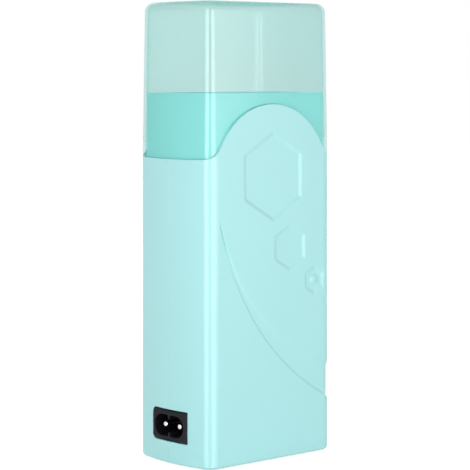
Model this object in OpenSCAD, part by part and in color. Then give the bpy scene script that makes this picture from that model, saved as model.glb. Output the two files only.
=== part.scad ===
// Roll-on wax heater for one cartridge: a two-part casing with a neck, a clear tinted
// cap over the neck, and a heated cup inside. Millimetres, +Z up, standing on its feet
// with the floor at z = 0. The broad faces look along -Y (front) and +Y (rear), the
// mains inlet is on the -X side, and the window and the button are on the +X side.

/* [Body] */
// Width of the body across a broad face
body_w = 70; // [68:0.5:80]
// Depth of the body between its broad faces
body_d = 43.6; // [43:0.2:52]
// Height of the shoulder that the cap's edge stands over, above the body's foot
shoulder_h = 118.6; // [116:0.2:135]
// Radius of the upright corners
corner_r = 5.2; // [5:0.1:6.5]
// How far a narrow side bulges out at its middle
side_bow = 1.9; // [1.2:0.1:2.4]
// Thickness of the casing's wall
wall = 2.2; // [2:0.1:2.4]
// Rounding of the body's foot
foot_round = 1.3; // [0.6:0.1:2]

/* [Neck and arch] */
// Height of the neck above the shoulder
neck_h = 25.6; // [24:0.2:30]
// Thickness of the neck's wall
neck_wall = 2; // [1.8:0.1:2.2]
// Height of the arch above the shoulder
arch_rise = 21.2; // [18:0.2:23]
// Radius of the arch's crown
arch_r = 30.2; // [28:0.1:32]
// Slope of the arch's straight flanks, in degrees
arch_slope = 57.5; // [50:0.5:60]
// Radius that runs the flanks out into the shoulder
arch_fillet = 8.6; // [5:0.2:9.4]

/* [Cap] */
// Height of the cap from the shoulder to its top
cap_h = 61.4; // [58:0.2:75]
// Thickness of the cap's wall
cap_wall = 1.6; // [1.4:0.1:1.8]
// How far the cap's side leans in between its foot and its top
cap_draft = 0.9; // [0.5:0.1:1.2]
// Rounding of the cap's top edge
cap_edge_r = 4; // [2.5:0.1:4]
// Gap between the cap's lower edge and the casing
cap_gap = 0.3; // [0.2:0.05:0.6]
// Least gap between the cap and the neck
cap_clearance = 0.3; // [0.2:0.05:0.5]

/* [Moulded ornament] */
// Depth of the hexagons and of the band
recess = 0.6; // [0.3:0.1:0.9]
// Height of the large, middle and small hexagon from corner to corner
hexagon_h = [34, 17.6, 10.8]; // [8:0.1:36]
// Distance of each hexagon's centre from the body's middle
hexagon_x = [0, 9.1, 22.8]; // [0:0.1:24]
// Distance of each hexagon's centre below the shoulder
hexagon_drop = [7.3, 35.7, 49.6]; // [5:0.1:55]
// Radius of the band's lower edge
band_lower_r = 106.6; // [100:0.1:112]
// Centre of that edge: distance from the inlet side, and height above the foot
band_lower_at = [111.3, 117.3]; // [100:0.1:125]
// Radius of the band's upper edge
band_upper_r = 90.3; // [86:0.1:94]
// Centre of that edge: distance from the inlet side, and height above the foot
band_upper_at = [93.3, 122.6]; // [88:0.1:128]

/* [Cartridge well] */
// Gap between the spring clip and the casing's broad walls, which sets the cup's depth
clip_gap = 0.7; // [0.5:0.1:2]
// Gap between the thermal fuse and the casing's narrow wall, which sets the cup's width
fuse_gap = 1.1; // [0.8:0.1:2.5]
// Radius of the cup's upright corners, inside
cup_r = 6; // [4:0.5:8]
// Thickness of the cup's sheet
cup_wall = 0.8; // [0.6:0.1:1]
// Gap between the circuit board and the cup's foot
cup_rise = 5; // [4:0.5:8]
// Height of the ring that frames the well's mouth
ring_h = 12; // [9:0.5:14]
// Thickness of that ring's rim over the neck
ring_rim = 1.5; // [1:0.1:2]

/* [Inlet] */
// Width of the inlet's face
inlet_w = 20.6; // [19:0.1:22]
// Height of the inlet's face
inlet_h = 12.6; // [12:0.1:14]
// Height of the inlet's centre above the body's foot
inlet_z = 14.6; // [13:0.1:20]
// Depth of the inlet's housing behind its face
inlet_depth = 16; // [15:0.5:18]
// Depth of the socket
socket_depth = 11; // [9:0.5:12]
// Radius of each of the socket's two lobes
socket_r = 4.2; // [4:0.05:4.4]
// Distance between the two contact pins
pin_pitch = 8.6; // [8.4:0.1:8.8]
// Diameter of a contact pin
pin_d = 2.4; // [2.2:0.1:2.6]
// How far the pins' tips lie behind the face
pin_sunk = 1.6; // [1:0.1:2.5]

/* [Button and window] */
// Diameter of the button
button_d = 10; // [8:0.1:11]
// Travel of the button
button_travel = 1.5; // [1:0.1:2]
// Gap round the button
button_gap = 0.3; // [0.2:0.05:0.4]
// Width of the level window
window_w = 8; // [6:0.5:9]
// Height of the level window
window_h = 50; // [36:1:54]
// Distance of the window's top below the shoulder
window_drop = 5.6; // [5:0.1:10]
// Diameter of the pilot light's lens
lens_d = 4.4; // [4:0.1:5]

/* [Base] */
// Thickness of the base plate
plate_t = 2; // [1.8:0.1:3]
// Diameter of a rubber foot
foot_d = 8; // [7:0.1:9]
// How far the feet stand below the body
foot_proud = 0.6; // [0.4:0.1:2]
// Distance of a foot's centre from the corner, along the width and the depth
foot_inset = [12, 9]; // [8:0.5:14]
// Diameter of the base screws' thread
screw_d = 3; // [2.6:0.1:3.2]
// Length of the base screws under their heads
screw_len = 9; // [7:0.5:10]

/* [Heater] */
// Width of a heater stone
stone_w = 24; // [18:0.5:26]
// Height of a heater stone
stone_h = 30; // [24:0.5:34]
// Thickness of a heater stone
stone_t = 2; // [1.6:0.1:2]
// Thickness of the electrode sheets
electrode_t = 0.4; // [0.3:0.05:0.5]
// Thickness of the insulating film
film_t = 0.2; // [0.1:0.05:0.25]
// Height of the stones' centres above the cup's foot
stone_rise = 37; // [34:0.5:40]
// Thickness of the spring clip that clamps the stones
clip_t = 0.4; // [0.3:0.05:0.5]
// Diameter of the thermal fuse
fuse_d = 3.4; // [3:0.1:3.6]
// Diameter of the wires over their insulation
wire_d = 1.6; // [1.2:0.1:1.8]
// Radius that the wires bend to
wire_bend = 3; // [2.7:0.1:3.3]

/* [Hidden] */

tiny = 0.01;
big = 200;
fit = 0.15;               // gap between pieces that are assembled by hand
free_gap = 0.3;           // gap round a piece that moves
corner_steps = 7;
bow_steps = 8;
arch_steps = 16;

body_color = [0.71, 0.925, 0.93];
cap_color = [0.62, 0.89, 0.87, 0.45];
metal_color = [0.78, 0.79, 0.8];
black_color = [0.07, 0.075, 0.08];

hw = body_w / 2;
hd = body_d / 2;
body_z = foot_proud;
shoulder_z = body_z + shoulder_h;
neck_top_z = shoulder_z + neck_h;
neck_rim_z = neck_top_z - ring_rim;
cap_top_z = shoulder_z + cap_h;
cap_round = min(cap_edge_r, corner_r - cap_draft - 0.2);
neck_inset = cap_wall + cap_clearance + cap_draft * neck_h / (cap_h - cap_round);
neck_in = neck_inset + neck_wall;
plate_top_z = body_z + plate_t;
stack_t = stone_t + 2 * electrode_t;
cup_w = body_w - 2 * (wall + fuse_gap + fuse_d + cup_wall);
cup_d = body_d - 2 * (wall + clip_gap + clip_t + stack_t + 2 * film_t + cup_wall);

// ---- heights that follow from the band: the button sits in its middle ----

band_lower = [band_lower_at.x - hw, band_lower_at.y + body_z];
band_upper = [band_upper_at.x - hw, band_upper_at.y + body_z];

// Height of a band edge where it reaches the +X side.
function band_edge_z(centre, r) = centre.y - sqrt(r * r - pow(hw - centre.x, 2));

switch_w = 8;
pad_rise = 1;             // from the switch to the wires over it, and from them to the board's top
button_z = (band_edge_z(band_lower, band_lower_r) + band_edge_z(band_upper, band_upper_r)) / 2;
pad_z = button_z + switch_w / 2 + pad_rise;
board_z1 = pad_z + 5.2 * pad_rise;
cup_z = board_z1 + cup_rise;

// ---- outlines seen from above ----

function arc(centre, r, from, to, steps) =
    [for (i = [0:steps]) let (a = from + (to - from) * i / steps)
        centre + r * [cos(a), sin(a)]];

// One narrow side with its two corners, set in from the body's skin.
function side_outline(inset) =
    let (r = max(corner_r - inset, 0.5),
         cy = hd - inset - r,
         cx = hw - inset - r - side_bow,
         inner_r = (cy * cy + side_bow * side_bow) / (2 * side_bow),
         a = asin(cy / inner_r),
         bow = arc([cx + side_bow - inner_r, 0], inner_r + r, -a, a, bow_steps))
    concat(arc([cx, -cy], r, -90, -a, corner_steps),
        [for (i = [1:bow_steps - 1]) bow[i]],
        arc([cx, cy], r, a, 90, corner_steps));

function outline(inset = 0) =
    let (side = side_outline(inset)) concat(side, [for (p = side) -p]);

function rounded_rectangle(w, d, r) =
    concat(arc([w / 2 - r, -d / 2 + r], r, -90, 0, corner_steps),
        arc([w / 2 - r, d / 2 - r], r, 0, 90, corner_steps),
        arc([-w / 2 + r, d / 2 - r], r, 90, 180, corner_steps),
        arc([-w / 2 + r, -d / 2 + r], r, 180, 270, corner_steps));

// How far a narrow side's skin lies from the middle plane, y off its centre.
function side_x(y, inset = 0) =
    let (cy = hd - corner_r,
         inner_r = (cy * cy + side_bow * side_bow) / (2 * side_bow),
         r = inner_r + corner_r - inset)
    hw - inset - r + sqrt(r * r - y * y);

module slab(inset, z0, z1) {
    translate([0, 0, z0])
        linear_extrude(z1 - z0)
            polygon(outline(inset));
}

module prism(points, z0, z1) {
    translate([0, 0, z0])
        linear_extrude(z1 - z0)
            polygon(points);
}

// A solid through body outlines stacked as [height, inset] pairs.
module loft(levels) {
    rows = [for (l = levels) outline(l[1])];
    n = len(rows[0]);
    last = len(levels) - 1;
    points = [for (i = [0:last]) for (p = rows[i]) [p.x, p.y, levels[i][0]]];
    sides = [for (i = [0:last - 1]) for (j = [0:n - 1])
        let (a = i * n + j, b = i * n + (j + 1) % n)
            each [[a, a + n, b], [b, a + n, b + n]]];
    floor_face = [for (j = [0:n - 1]) j];
    top_face = [for (j = [n - 1:-1:0]) last * n + j];
    polyhedron(points, concat([floor_face], sides, [top_face]));
}

// Outlines drawn on the broad faces are extruded through the body along Y.
module through_y(depth = big) {
    rotate([90, 0, 0])
        linear_extrude(depth, center = true)
            children();
}

module box(low, high) {
    translate(low)
        cube(high - low);
}

module bar_x(d, x0, x1) {
    translate([x0, 0, 0])
        rotate([0, 90, 0])
            cylinder(d = d, h = x1 - x0, $fn = 48);
}

// ---- the arch, as a line seen from the front ----

arch_centre = [0, shoulder_z + arch_rise - arch_r];
fillet_centre = [
    (arch_r + arch_fillet + (arch_centre.y - shoulder_z - arch_fillet) * cos(arch_slope))
        / sin(arch_slope),
    shoulder_z + arch_fillet];

function arch_half(gap) =
    concat(arc(arch_centre, arch_r + gap, 90, 90 - arch_slope, arch_steps),
        arc(fillet_centre, arch_fillet - gap, 270 - arch_slope, 270, corner_steps));

// Everything below the shoulder and the arch, pushed up by a gap.
function under_arch(gap) =
    let (half = arch_half(gap), last = len(half) - 1)
    concat([[big, -big], [big, shoulder_z + gap]],
        [for (i = [last:-1:0]) half[i]],
        [for (i = [1:last]) [-half[i].x, half[i].y]],
        [[-big, shoulder_z + gap], [-big, -big]]);

// ---- moulded ornament ----

hexagon_z = [for (drop = hexagon_drop) shoulder_z - drop];

module hexagon(i) {
    translate([hexagon_x[i], hexagon_z[i]])
        rotate(90)
            circle(d = hexagon_h[i], $fn = 6);
}

module band() {
    difference() {
        translate(band_lower)
            circle(r = band_lower_r, $fn = 180);
        translate(band_upper)
            circle(r = band_upper_r, $fn = 180);
    }
}

// The skin of the body down to the recess depth, where a drawn shape covers it.
module recessed() {
    intersection() {
        difference() {
            slab(-1, 0, shoulder_z + arch_rise);
            slab(recess, -1, shoulder_z + arch_rise + 1);
        }
        through_y()
            children();
    }
}

module ornament() {
    for (i = [0:2])
        recessed()
            hexagon(i);
    recessed()
        band();
}

// ---- casing ----

screw_inset = [24, 6.6];                  // from the corner to a screw, along width and depth
boss_x = hw - screw_inset.x;
boss_y = hd - screw_inset.y;
boss_d = 6.4;
boss_h = screw_len + 1;
pilot_d = screw_d - 0.4;
foot_x = hw - foot_inset.x;
foot_y = hd - foot_inset.y;
rib = 2;
lip_t = wall / 2;
lip_reach = 1.4;

ledge_z = neck_top_z - ring_h;
cup_flange_z = ledge_z + cup_wall;
cup_out_w = cup_w + 2 * cup_wall;
cup_out_d = cup_d + 2 * cup_wall;

inlet_centre_z = body_z + inlet_z;
inlet_flange = 1.6;
inlet_face_x = -hw;
inlet_flange_x = -side_x(inlet_w / 2 + inlet_flange, wall) + fit;

board_t = 1.6;
board_gap = 11.4;                         // from the button side's skin to the board
board_x = hw - board_gap - board_t;
board_edge = hd - wall - 0.8;
board_z0 = plate_top_z;

window_flange = 1.5;                      // thickness of the flange behind the wall
window_margin = 1.5;                      // how far that flange stands out all round
window_centre_z = shoulder_z - window_drop - window_h / 2;
window_back_x = hw - wall - window_flange;

module slot_outline(w, h) {
    square([w, h - w], center = true);
    for (end = [-1, 1])
        translate([0, end * (h - w) / 2])
            circle(d = w, $fn = 40);
}

// A slot-shaped bar along X, centred on the +X side's middle line.
module window_bar(w, h, x0, x1) {
    translate([x0, 0, window_centre_z])
        rotate([90, 0, 90])
            linear_extrude(x1 - x0)
                slot_outline(w, h);
}

module inlet_block(grow, x0, x1) {
    box([x0, -inlet_w / 2 - grow, inlet_centre_z - inlet_h / 2 - grow],
        [x1, inlet_w / 2 + grow, inlet_centre_z + inlet_h / 2 + grow]);
}

module outer_skin() {
    foot_levels = [for (a = [0:30:90])
        [body_z + foot_round * (1 - cos(a)), foot_round * (1 - sin(a))]];
    intersection() {
        loft(concat(foot_levels, [[shoulder_z + arch_rise + 1, 0]]));
        through_y()
            polygon(under_arch(0));
    }
    slab(neck_inset, shoulder_z - wall, neck_rim_z);
}

// The gap between the halves is closed by a lip inside the wall. It stops short of
// the pieces that are held between the halves.
module seam_lip(grow) {
    difference() {
        intersection() {
            difference() {
                slab(wall - lip_t - grow, plate_top_z + 1, shoulder_z - wall);
                slab(wall + grow, 0, big);
            }
            box([-big, -lip_reach, 0], [big, lip_reach + grow, big]);
        }
        box([-big, -big, inlet_centre_z - inlet_h], [-hw / 2, big, inlet_centre_z + inlet_h]);
        box([hw / 2, -big, button_z - button_d], [big, big, button_z + button_d]);
        box([hw / 2, -big, window_centre_z - window_h / 2 - 4],
            [big, big, window_centre_z + window_h / 2 + 4]);
    }
}

module screw_boss(x, y) {
    difference() {
        union() {
            translate([x, y, plate_top_z])
                cylinder(d = boss_d, h = boss_h, $fn = 40);
            box([x - rib / 2, min(y, sign(y) * (hd - wall / 2)), plate_top_z],
                [x + rib / 2, max(y, sign(y) * (hd - wall / 2)), plate_top_z + boss_h]);
        }
        translate([x, y, plate_top_z - 1])
            cylinder(d = pilot_d, h = boss_h, $fn = 32);
    }
}

// A rib between two heights that starts y0 from the middle plane and ends in the wall,
// drawn once for each half.
module wall_ribs(x0, x1, y0, z0, z1) {
    intersection() {
        slab(wall / 2, z0, z1);
        for (turn = [0, 1])
            mirror([0, turn, 0])
                box([x0, y0, z0 - 1], [x1, big, z1 + 1]);
    }
}

// Shelves under the cup's two ends, open at the middle for wires.
module cup_shelves() {
    intersection() {
        slab(wall / 2, cup_z - rib, cup_z);
        for (turn_x = [0, 1])
            for (turn_y = [0, 1])
                mirror([turn_x, 0, 0])
                    mirror([0, turn_y, 0])
                        box([cup_w / 2 - 3, 4, 0], [big, cup_d / 2 - 2, big]);
    }
}

// Two ribs on each half that hold the circuit board by its edge.
module board_guides() {
    guide_t = rib / 2;
    for (x = [board_x - fit - guide_t, board_x + board_t + fit])
        wall_ribs(x, x + guide_t, board_edge - 3, plate_top_z, board_z1 - 4);
}

// Stops behind the inlet, so that it can't be pushed in.
module inlet_stops() {
    stop_x = inlet_flange_x + inlet_flange + fit;
    wall_ribs(stop_x, stop_x + rib, inlet_w / 2 + 0.5, plate_top_z, inlet_centre_z + inlet_h);
}

// Hooks that hold the window's flange against the wall, two on each half.
module window_hooks() {
    hook_t = 1.2;
    hook_h = 6;
    edge = window_w / 2 + window_margin;
    for (z = [for (end = [-1, 1]) window_centre_z + end * window_h / 4])
        for (turn = [0, 1])
            mirror([0, turn, 0])
                intersection() {
                    slab(wall / 2, z - hook_h / 2, z + hook_h / 2);
                    union() {
                        box([window_back_x - fit - hook_t, edge + fit, 0],
                            [hw, edge + fit + hook_t, big]);
                        box([window_back_x - fit - hook_t, edge - 1, 0],
                            [window_back_x - fit, edge + fit + hook_t, big]);
                    }
                }
}

// Two posts that carry the pilot light's board, each with a stake through it.
module pilot_posts() {
    for (z = pilot_post_z)
        translate([lens_at.x, 0, z])
            rotate([90, 0, 0]) {
                translate([0, 0, -led_board_y])
                    cylinder(d = post_d, h = led_board_y + hd - wall / 2, $fn = 32);
                translate([0, 0, -led_board_y - led_board.y - 0.4])
                    cylinder(d = stake_d, h = led_board.y + 1, $fn = 32);
            }
}

module casing() {
    difference() {
        outer_skin();
        slab(wall, -1, shoulder_z - wall);
        slab(neck_in, shoulder_z - wall - 1, big);
        ornament();
    }
    difference() {
        slab(neck_in - neck_wall / 2, ledge_z - rib, ledge_z);
        prism(rounded_rectangle(cup_out_w + 2 * fit, cup_out_d + 2 * fit, cup_r + cup_wall),
            0, big);
    }
    for (x = [-boss_x, boss_x])
        for (y = [-boss_y, boss_y])
            screw_boss(x, y);
    cup_shelves();
    board_guides();
    inlet_stops();
    window_hooks();
    pilot_posts();
}

module casing_openings() {
    along_inlet(-hw - 1, -hw / 2)
        inlet_face_outline(fit);
    translate([0, 0, button_z])
        bar_x(button_d + 2 * button_gap, hw - wall - 2, hw + 1);
    window_bar(window_w + 2 * fit, window_h + 2 * fit, hw - wall - 2, hw + 1);
    lens_hole();
}

module lens_hole() {
    translate([lens_at.x, -hd - 1, lens_at.y])
        rotate([-90, 0, 0])
            cylinder(d = lens_stem_d + 2 * fit, h = wall + 2, $fn = 40);
}

module front_shell() {
    color(body_color)
        difference() {
            union() {
                intersection() {
                    casing();
                    box([-big, -big, -big], [big, 0, 2 * big]);
                }
                seam_lip(0);
            }
            casing_openings();
        }
}

module rear_shell() {
    color(body_color)
        difference() {
            intersection() {
                casing();
                box([-big, 0, -big], [big, big, 2 * big]);
            }
            seam_lip(fit);
            casing_openings();
        }
}

// ---- cap ----

function cap_levels(inset, round, z0) =
    concat([[z0, inset]],
        [for (i = [0:5]) let (a = 18 * i)
            [cap_top_z - cap_round + round * sin(a),
                inset + cap_draft + round * (1 - cos(a))]]);

module cap() {
    inner_round = cap_round - cap_wall;
    color(cap_color)
        difference() {
            loft(cap_levels(0, cap_round, shoulder_z));
            loft(cap_levels(cap_wall, inner_round, shoulder_z - tiny));
            through_y()
                polygon(under_arch(cap_gap));
        }
}

// ---- well: ring and cup ----

mouth_w = cup_w + 1;
mouth_d = cup_d + 1;

module neck_ring() {
    color(body_color)
        difference() {
            union() {
                slab(neck_inset + 0.1, neck_rim_z, neck_top_z);
                slab(neck_in + fit, cup_flange_z, neck_rim_z + tiny);
            }
            prism(rounded_rectangle(mouth_w, mouth_d, cup_r + 0.5), 0, big);
            // stepped lead-in
            prism(rounded_rectangle(mouth_w + 1.6, mouth_d + 1.6, cup_r + 1.3),
                neck_top_z - ring_rim / 2, big);
        }
}

// A slot in the cup's side lets the cartridge be seen through the window.
module heating_cup() {
    color(metal_color)
        difference() {
            union() {
                prism(rounded_rectangle(cup_out_w, cup_out_d, cup_r + cup_wall),
                    cup_z, cup_flange_z);
                slab(neck_in + fit, ledge_z, cup_flange_z);
            }
            prism(rounded_rectangle(cup_w, cup_d, cup_r), cup_z + cup_wall, big);
            window_bar(window_w - 2, window_h - 4, 0, hw);
        }
}

// ---- base ----

module base_plate() {
    color(body_color)
        difference() {
            slab(wall + fit, body_z, plate_top_z);
            for (x = [-boss_x, boss_x])
                for (y = [-boss_y, boss_y])
                    translate([x, y, 0]) {
                        cylinder(d = screw_d + 0.4, h = big, $fn = 32);
                        cylinder(d = screw_head_d + 0.4, h = body_z + screw_head_h, $fn = 40);
                    }
            for (x = [-foot_x, foot_x])
                for (y = [-foot_y, foot_y])
                    translate([x, y, 0])
                        cylinder(d = foot_d + 0.2, h = body_z + foot_set, $fn = 40);
            for (i = [-2:2])
                box([i * 4 - 1, -9, 0], [i * 4 + 1, 9, big]);
        }
}

screw_head_d = screw_d * 1.8;
screw_head_h = 1;
screw_sunk = 0.1;         // from the base's face to the screws' heads
screw_slot = [0.6, 0.7];  // width and depth of the heads' slots
foot_set = 1;             // how deep a foot sits in the base plate

module base_screws() {
    seat_z = body_z + screw_head_h;
    color(metal_color)
        for (x = [-boss_x, boss_x])
            for (y = [-boss_y, boss_y])
                translate([x, y, 0])
                    difference() {
                        union() {
                            translate([0, 0, body_z + screw_sunk])
                                cylinder(d = screw_head_d, h = screw_head_h - screw_sunk, $fn = 40);
                            translate([0, 0, seat_z - tiny])
                                cylinder(d = screw_d, h = screw_len, $fn = 32);
                        }
                        for (turn = [0, 90])
                            rotate(turn)
                                box([-screw_d / 2, -screw_slot.x / 2, 0],
                                    [screw_d / 2, screw_slot.x / 2, body_z + screw_slot.y]);
                    }
}

module rubber_feet() {
    color(black_color)
        for (x = [-foot_x, foot_x])
            for (y = [-foot_y, foot_y])
                translate([x, y, 0])
                    cylinder(d = foot_d, h = body_z + foot_set, $fn = 40);
}

// ---- heater stack on both broad sides of the cup ----

stone_z = cup_z + stone_rise;
tail_h = 8;                               // length, width and place of the sheets' tails
tail_w = 4;
tail_x = 6;
tail_foot = 2.4;                          // the tails' bent feet, which the wires meet
tail_z = stone_z - stone_h / 2 - tail_h;
tail_y = cup_out_d / 2 + film_t + tail_foot - wire_d / 2 - 0.2;

// Places a child on the front, and turned round on the rear. Its y = 0 plane is the
// cup's outer face, and it grows along -y.
module both_faces() {
    for (turn = [0, 180])
        rotate(turn)
            translate([0, -cup_out_d / 2, stone_z])
                children();
}

module heater_stones() {
    color([0.35, 0.36, 0.38])
        both_faces()
            box([-stone_w / 2, -film_t - electrode_t - stone_t, -stone_h / 2],
                [stone_w / 2, -film_t - electrode_t, stone_h / 2]);
}

// One sheet behind the plane y, with its tail at x and the tail's foot between y0 and y1.
module electrode(y, x, y0, y1) {
    foot_z = -stone_h / 2 - tail_h;
    box([-stone_w / 2, y - electrode_t, -stone_h / 2], [stone_w / 2, y, stone_h / 2]);
    box([x - tail_w / 2, y - electrode_t, foot_z],
        [x + tail_w / 2, y, -stone_h / 2 + tiny]);
    box([x - tail_w / 2, y0, foot_z], [x + tail_w / 2, y1, foot_z + electrode_t]);
}

module electrode_sheets() {
    inner_y = -film_t;
    outer_y = -film_t - electrode_t - stone_t;
    color([0.85, 0.7, 0.4])
        both_faces() {
            electrode(inner_y, -tail_x, inner_y - tail_foot, inner_y);
            electrode(outer_y, tail_x, outer_y - electrode_t, outer_y - electrode_t + tail_foot);
        }
}

// A flat sleeve of film, open at the bottom for the electrodes' tails.
module insulating_films() {
    color([0.85, 0.55, 0.15])
        both_faces()
            difference() {
                box([-stone_w / 2 - film_t, -stack_t - 2 * film_t, -stone_h / 2],
                    [stone_w / 2 + film_t, 0, stone_h / 2 + film_t]);
                box([-stone_w / 2, -stack_t - film_t, -stone_h / 2 - 1],
                    [stone_w / 2, -film_t, stone_h / 2]);
            }
}

// A spring clip pushed on from the inlet side. It is open at the window side.
clip_in_d = cup_out_d + 2 * (stack_t + 2 * film_t);
clip_in_w = cup_out_w + 0.2;
clip_r = cup_r + 3;
clip_h = 12;

module heater_clip() {
    color(metal_color)
        difference() {
            prism(rounded_rectangle(clip_in_w + 2 * clip_t, clip_in_d + 2 * clip_t, clip_r),
                stone_z - clip_h / 2, stone_z + clip_h / 2);
            prism(rounded_rectangle(clip_in_w, clip_in_d, clip_r - clip_t), 0, big);
            box([stone_w / 2 + 2, -big, 0], [big, big, big]);
        }
}

// ---- temperature control ----

thermostat_x = 6;
thermostat_cap_d = 15.8;
thermostat_cap_h = 3.4;
thermostat_body_d = 13.6;
thermostat_body_h = 6;
thermostat_tab = [0.8, 4.8, 6];
thermostat_tab_x = 4;                     // from the thermostat's axis to a tab
thermostat_z = cup_z - thermostat_cap_h - thermostat_body_h;

module thermostat() {
    color(black_color)
        translate([thermostat_x, 0, thermostat_z]) {
            cylinder(d = thermostat_body_d, h = thermostat_body_h + tiny, $fn = 48);
            translate([0, 0, thermostat_body_h])
                cylinder(d = thermostat_cap_d, h = thermostat_cap_h, $fn = 48);
            for (x = [-thermostat_tab_x, thermostat_tab_x])
                box([x - thermostat_tab.x / 2, -thermostat_tab.y / 2, -thermostat_tab.z],
                    [x + thermostat_tab.x / 2, thermostat_tab.y / 2, tiny]);
        }
}

// A strap that holds the thermostat's cap against the cup's floor.
module thermostat_bracket() {
    strap_t = 0.6;
    strap_w = 6;
    strap_y = 2;
    foot = 2.4;
    leg_y = thermostat_cap_d / 2 + strap_t;
    strap_z = thermostat_z + thermostat_body_h - strap_t;
    color(metal_color)
        translate([thermostat_x, 0, 0])
            for (turn = [0, 180])
                rotate(turn)
                    difference() {
                        union() {
                            box([-strap_w / 2, strap_y, strap_z],
                                [strap_w / 2, leg_y + strap_t, strap_z + strap_t]);
                            box([-strap_w / 2, leg_y, strap_z],
                                [strap_w / 2, leg_y + strap_t, cup_z]);
                            box([-strap_w / 2, leg_y, cup_z - strap_t],
                                [strap_w / 2, leg_y + foot, cup_z]);
                        }
                        translate([0, 0, strap_z - strap_t])
                            cylinder(d = thermostat_body_d + 0.2, h = 3 * strap_t, $fn = 48);
                    }
}

fuse_h = 11;
fuse_x = -cup_out_w / 2 - fuse_d / 2;     // the fuse lies against the cup
fuse_z = cup_z + 8;
lead_d = 1;
lead_h = 4;
splice_h = 4;
splice_z = fuse_z + fuse_h + lead_h;

module thermal_fuse() {
    color([0.8, 0.76, 0.68])
        translate([fuse_x, 0, fuse_z]) {
            cylinder(d = fuse_d, h = fuse_h, $fn = 32);
            translate([0, 0, -lead_h])
                cylinder(d = lead_d, h = fuse_h + 2 * lead_h, $fn = 16);
        }
}

// The crimped sleeve that joins the fuse's upper lead to the two link wires.
module wire_splice() {
    color([0.8, 0.3, 0.25])
        translate([fuse_x, 0, splice_z])
            cylinder(d = 2 * wire_d + 0.2, h = splice_h, $fn = 32);
}

// ---- mains inlet ----

inlet_corner = 1.8;
tag_len = 5;
tag = [0.6, 1.6];
inlet_back_x = inlet_face_x + inlet_depth;
waist_h = 5.8;            // clear height of the socket at its waist

module socket_outline() {
    for (side = [-1, 1])
        translate([side * pin_pitch / 2, 0])
            circle(r = socket_r, $fn = 64);
    square([pin_pitch, waist_h], center = true);
}

// The face has two round corners on the rear half and two square ones on the front.
module inlet_face_outline(grow = 0) {
    r = inlet_corner + grow;
    difference() {
        square([inlet_w + 2 * grow, inlet_h + 2 * grow], center = true);
        for (side = [-1, 1])
            translate([inlet_w / 2 - inlet_corner, side * (inlet_h / 2 - inlet_corner)])
                difference() {
                    translate([0, side > 0 ? 0 : -r - 1])
                        square([r + 1, r + 1]);
                    circle(r = r, $fn = 40);
                }
    }
}

module along_inlet(x0, x1) {
    translate([x0, 0, inlet_centre_z])
        rotate([90, 0, 90])
            linear_extrude(x1 - x0)
                children();
}

module inlet_housing() {
    color(black_color)
        difference() {
            union() {
                along_inlet(inlet_face_x, inlet_back_x)
                    inlet_face_outline();
                inlet_block(inlet_flange - 0.2, inlet_flange_x, inlet_flange_x + inlet_flange);
            }
            along_inlet(inlet_face_x - 1, inlet_face_x + socket_depth)
                socket_outline();
            for (side = [-1, 1])
                translate([0, side * pin_pitch / 2, inlet_centre_z])
                    bar_x(shank_d + 2 * pin_fit, inlet_face_x, inlet_back_x + 1);
        }
}

// A contact pin with a blunt nose stands in the socket. Its thinner shank runs through
// the housing to a flat tag.
shank_d = pin_d - 0.6;
pin_nose = pin_d / 4;
pin_fit = 0.02;

module inlet_pins() {
    free_len = socket_depth - pin_sunk;
    color(metal_color)
        for (side = [-1, 1])
            translate([inlet_face_x + pin_sunk, side * pin_pitch / 2, inlet_centre_z]) {
                rotate([0, 90, 0])
                    rotate_extrude($fn = 48)
                        polygon([[0, 0], [pin_d / 2 - pin_nose, 0], [pin_d / 2, pin_nose],
                            [pin_d / 2, free_len], [shank_d / 2, free_len],
                            [shank_d / 2, inlet_depth - pin_sunk], [0, inlet_depth - pin_sunk]]);
                box([inlet_depth - pin_sunk - tiny, -tag.x / 2, -tag.y / 2],
                    [inlet_depth - pin_sunk + tag_len, tag.x / 2, tag.y / 2]);
            }
}

// ---- window side: level window, button, switch ----

module level_window() {
    color([0.85, 0.95, 0.95, 0.35])
        intersection() {
            union() {
                window_bar(window_w, window_h, window_back_x, hw + 1);
                window_bar(window_w + 2 * window_margin, window_h + 2 * window_margin,
                    window_back_x, side_x(window_w / 2 + window_margin, wall) - fit / 2);
            }
            slab(0, 0, big);
        }
}

button_rim = 1.2;         // the button's flange: how far it stands out, and its thickness
button_flange_x = side_x(button_d / 2 + button_rim, wall) - button_rim - free_gap;
button_edge = 0.6;

module power_button() {
    color([0.93, 0.97, 0.97])
        translate([0, 0, button_z]) {
            bar_x(button_d, button_flange_x, hw - button_edge);
            bar_x(button_d - 2 * button_edge, button_flange_x, hw);
            bar_x(button_d + 2 * button_rim, button_flange_x, button_flange_x + button_rim);
        }
}

switch_x = board_x + board_t;
switch_t = button_travel + 2.9;
plunger_w = 3.2;
plunger_x = switch_x + button_travel + 0.6;

module switch_plunger() {
    half = plunger_w / 2;
    color("white")
        box([plunger_x, -half, button_z - half], [button_flange_x, half, button_z + half]);
}

module switch_body() {
    half = plunger_w / 2 + free_gap;
    color(black_color)
        difference() {
            box([switch_x, -switch_w / 2, button_z - switch_w / 2],
                [switch_x + switch_t, switch_w / 2, button_z + switch_w / 2]);
            box([plunger_x - button_travel - free_gap, -half, button_z - half],
                [big, half, button_z + half]);
        }
}

// ---- board and its components ----

module circuit_board() {
    color([0.1, 0.4, 0.22])
        box([board_x, -board_edge, board_z0], [board_x + board_t, board_edge, board_z1]);
}

capacitor_size = [7, 13, 11];
capacitor_z = board_z0 + 3;

module capacitor() {
    color([0.85, 0.75, 0.2])
        box([board_x - capacitor_size.x, -capacitor_size.y / 2, capacitor_z],
            [board_x, capacitor_size.y / 2, capacitor_z + capacitor_size.z]);
}

resistor_d = 2.4;
resistor_h = 6.5;
resistor_lead = 0.6;
resistor_y = 9.6;

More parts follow.
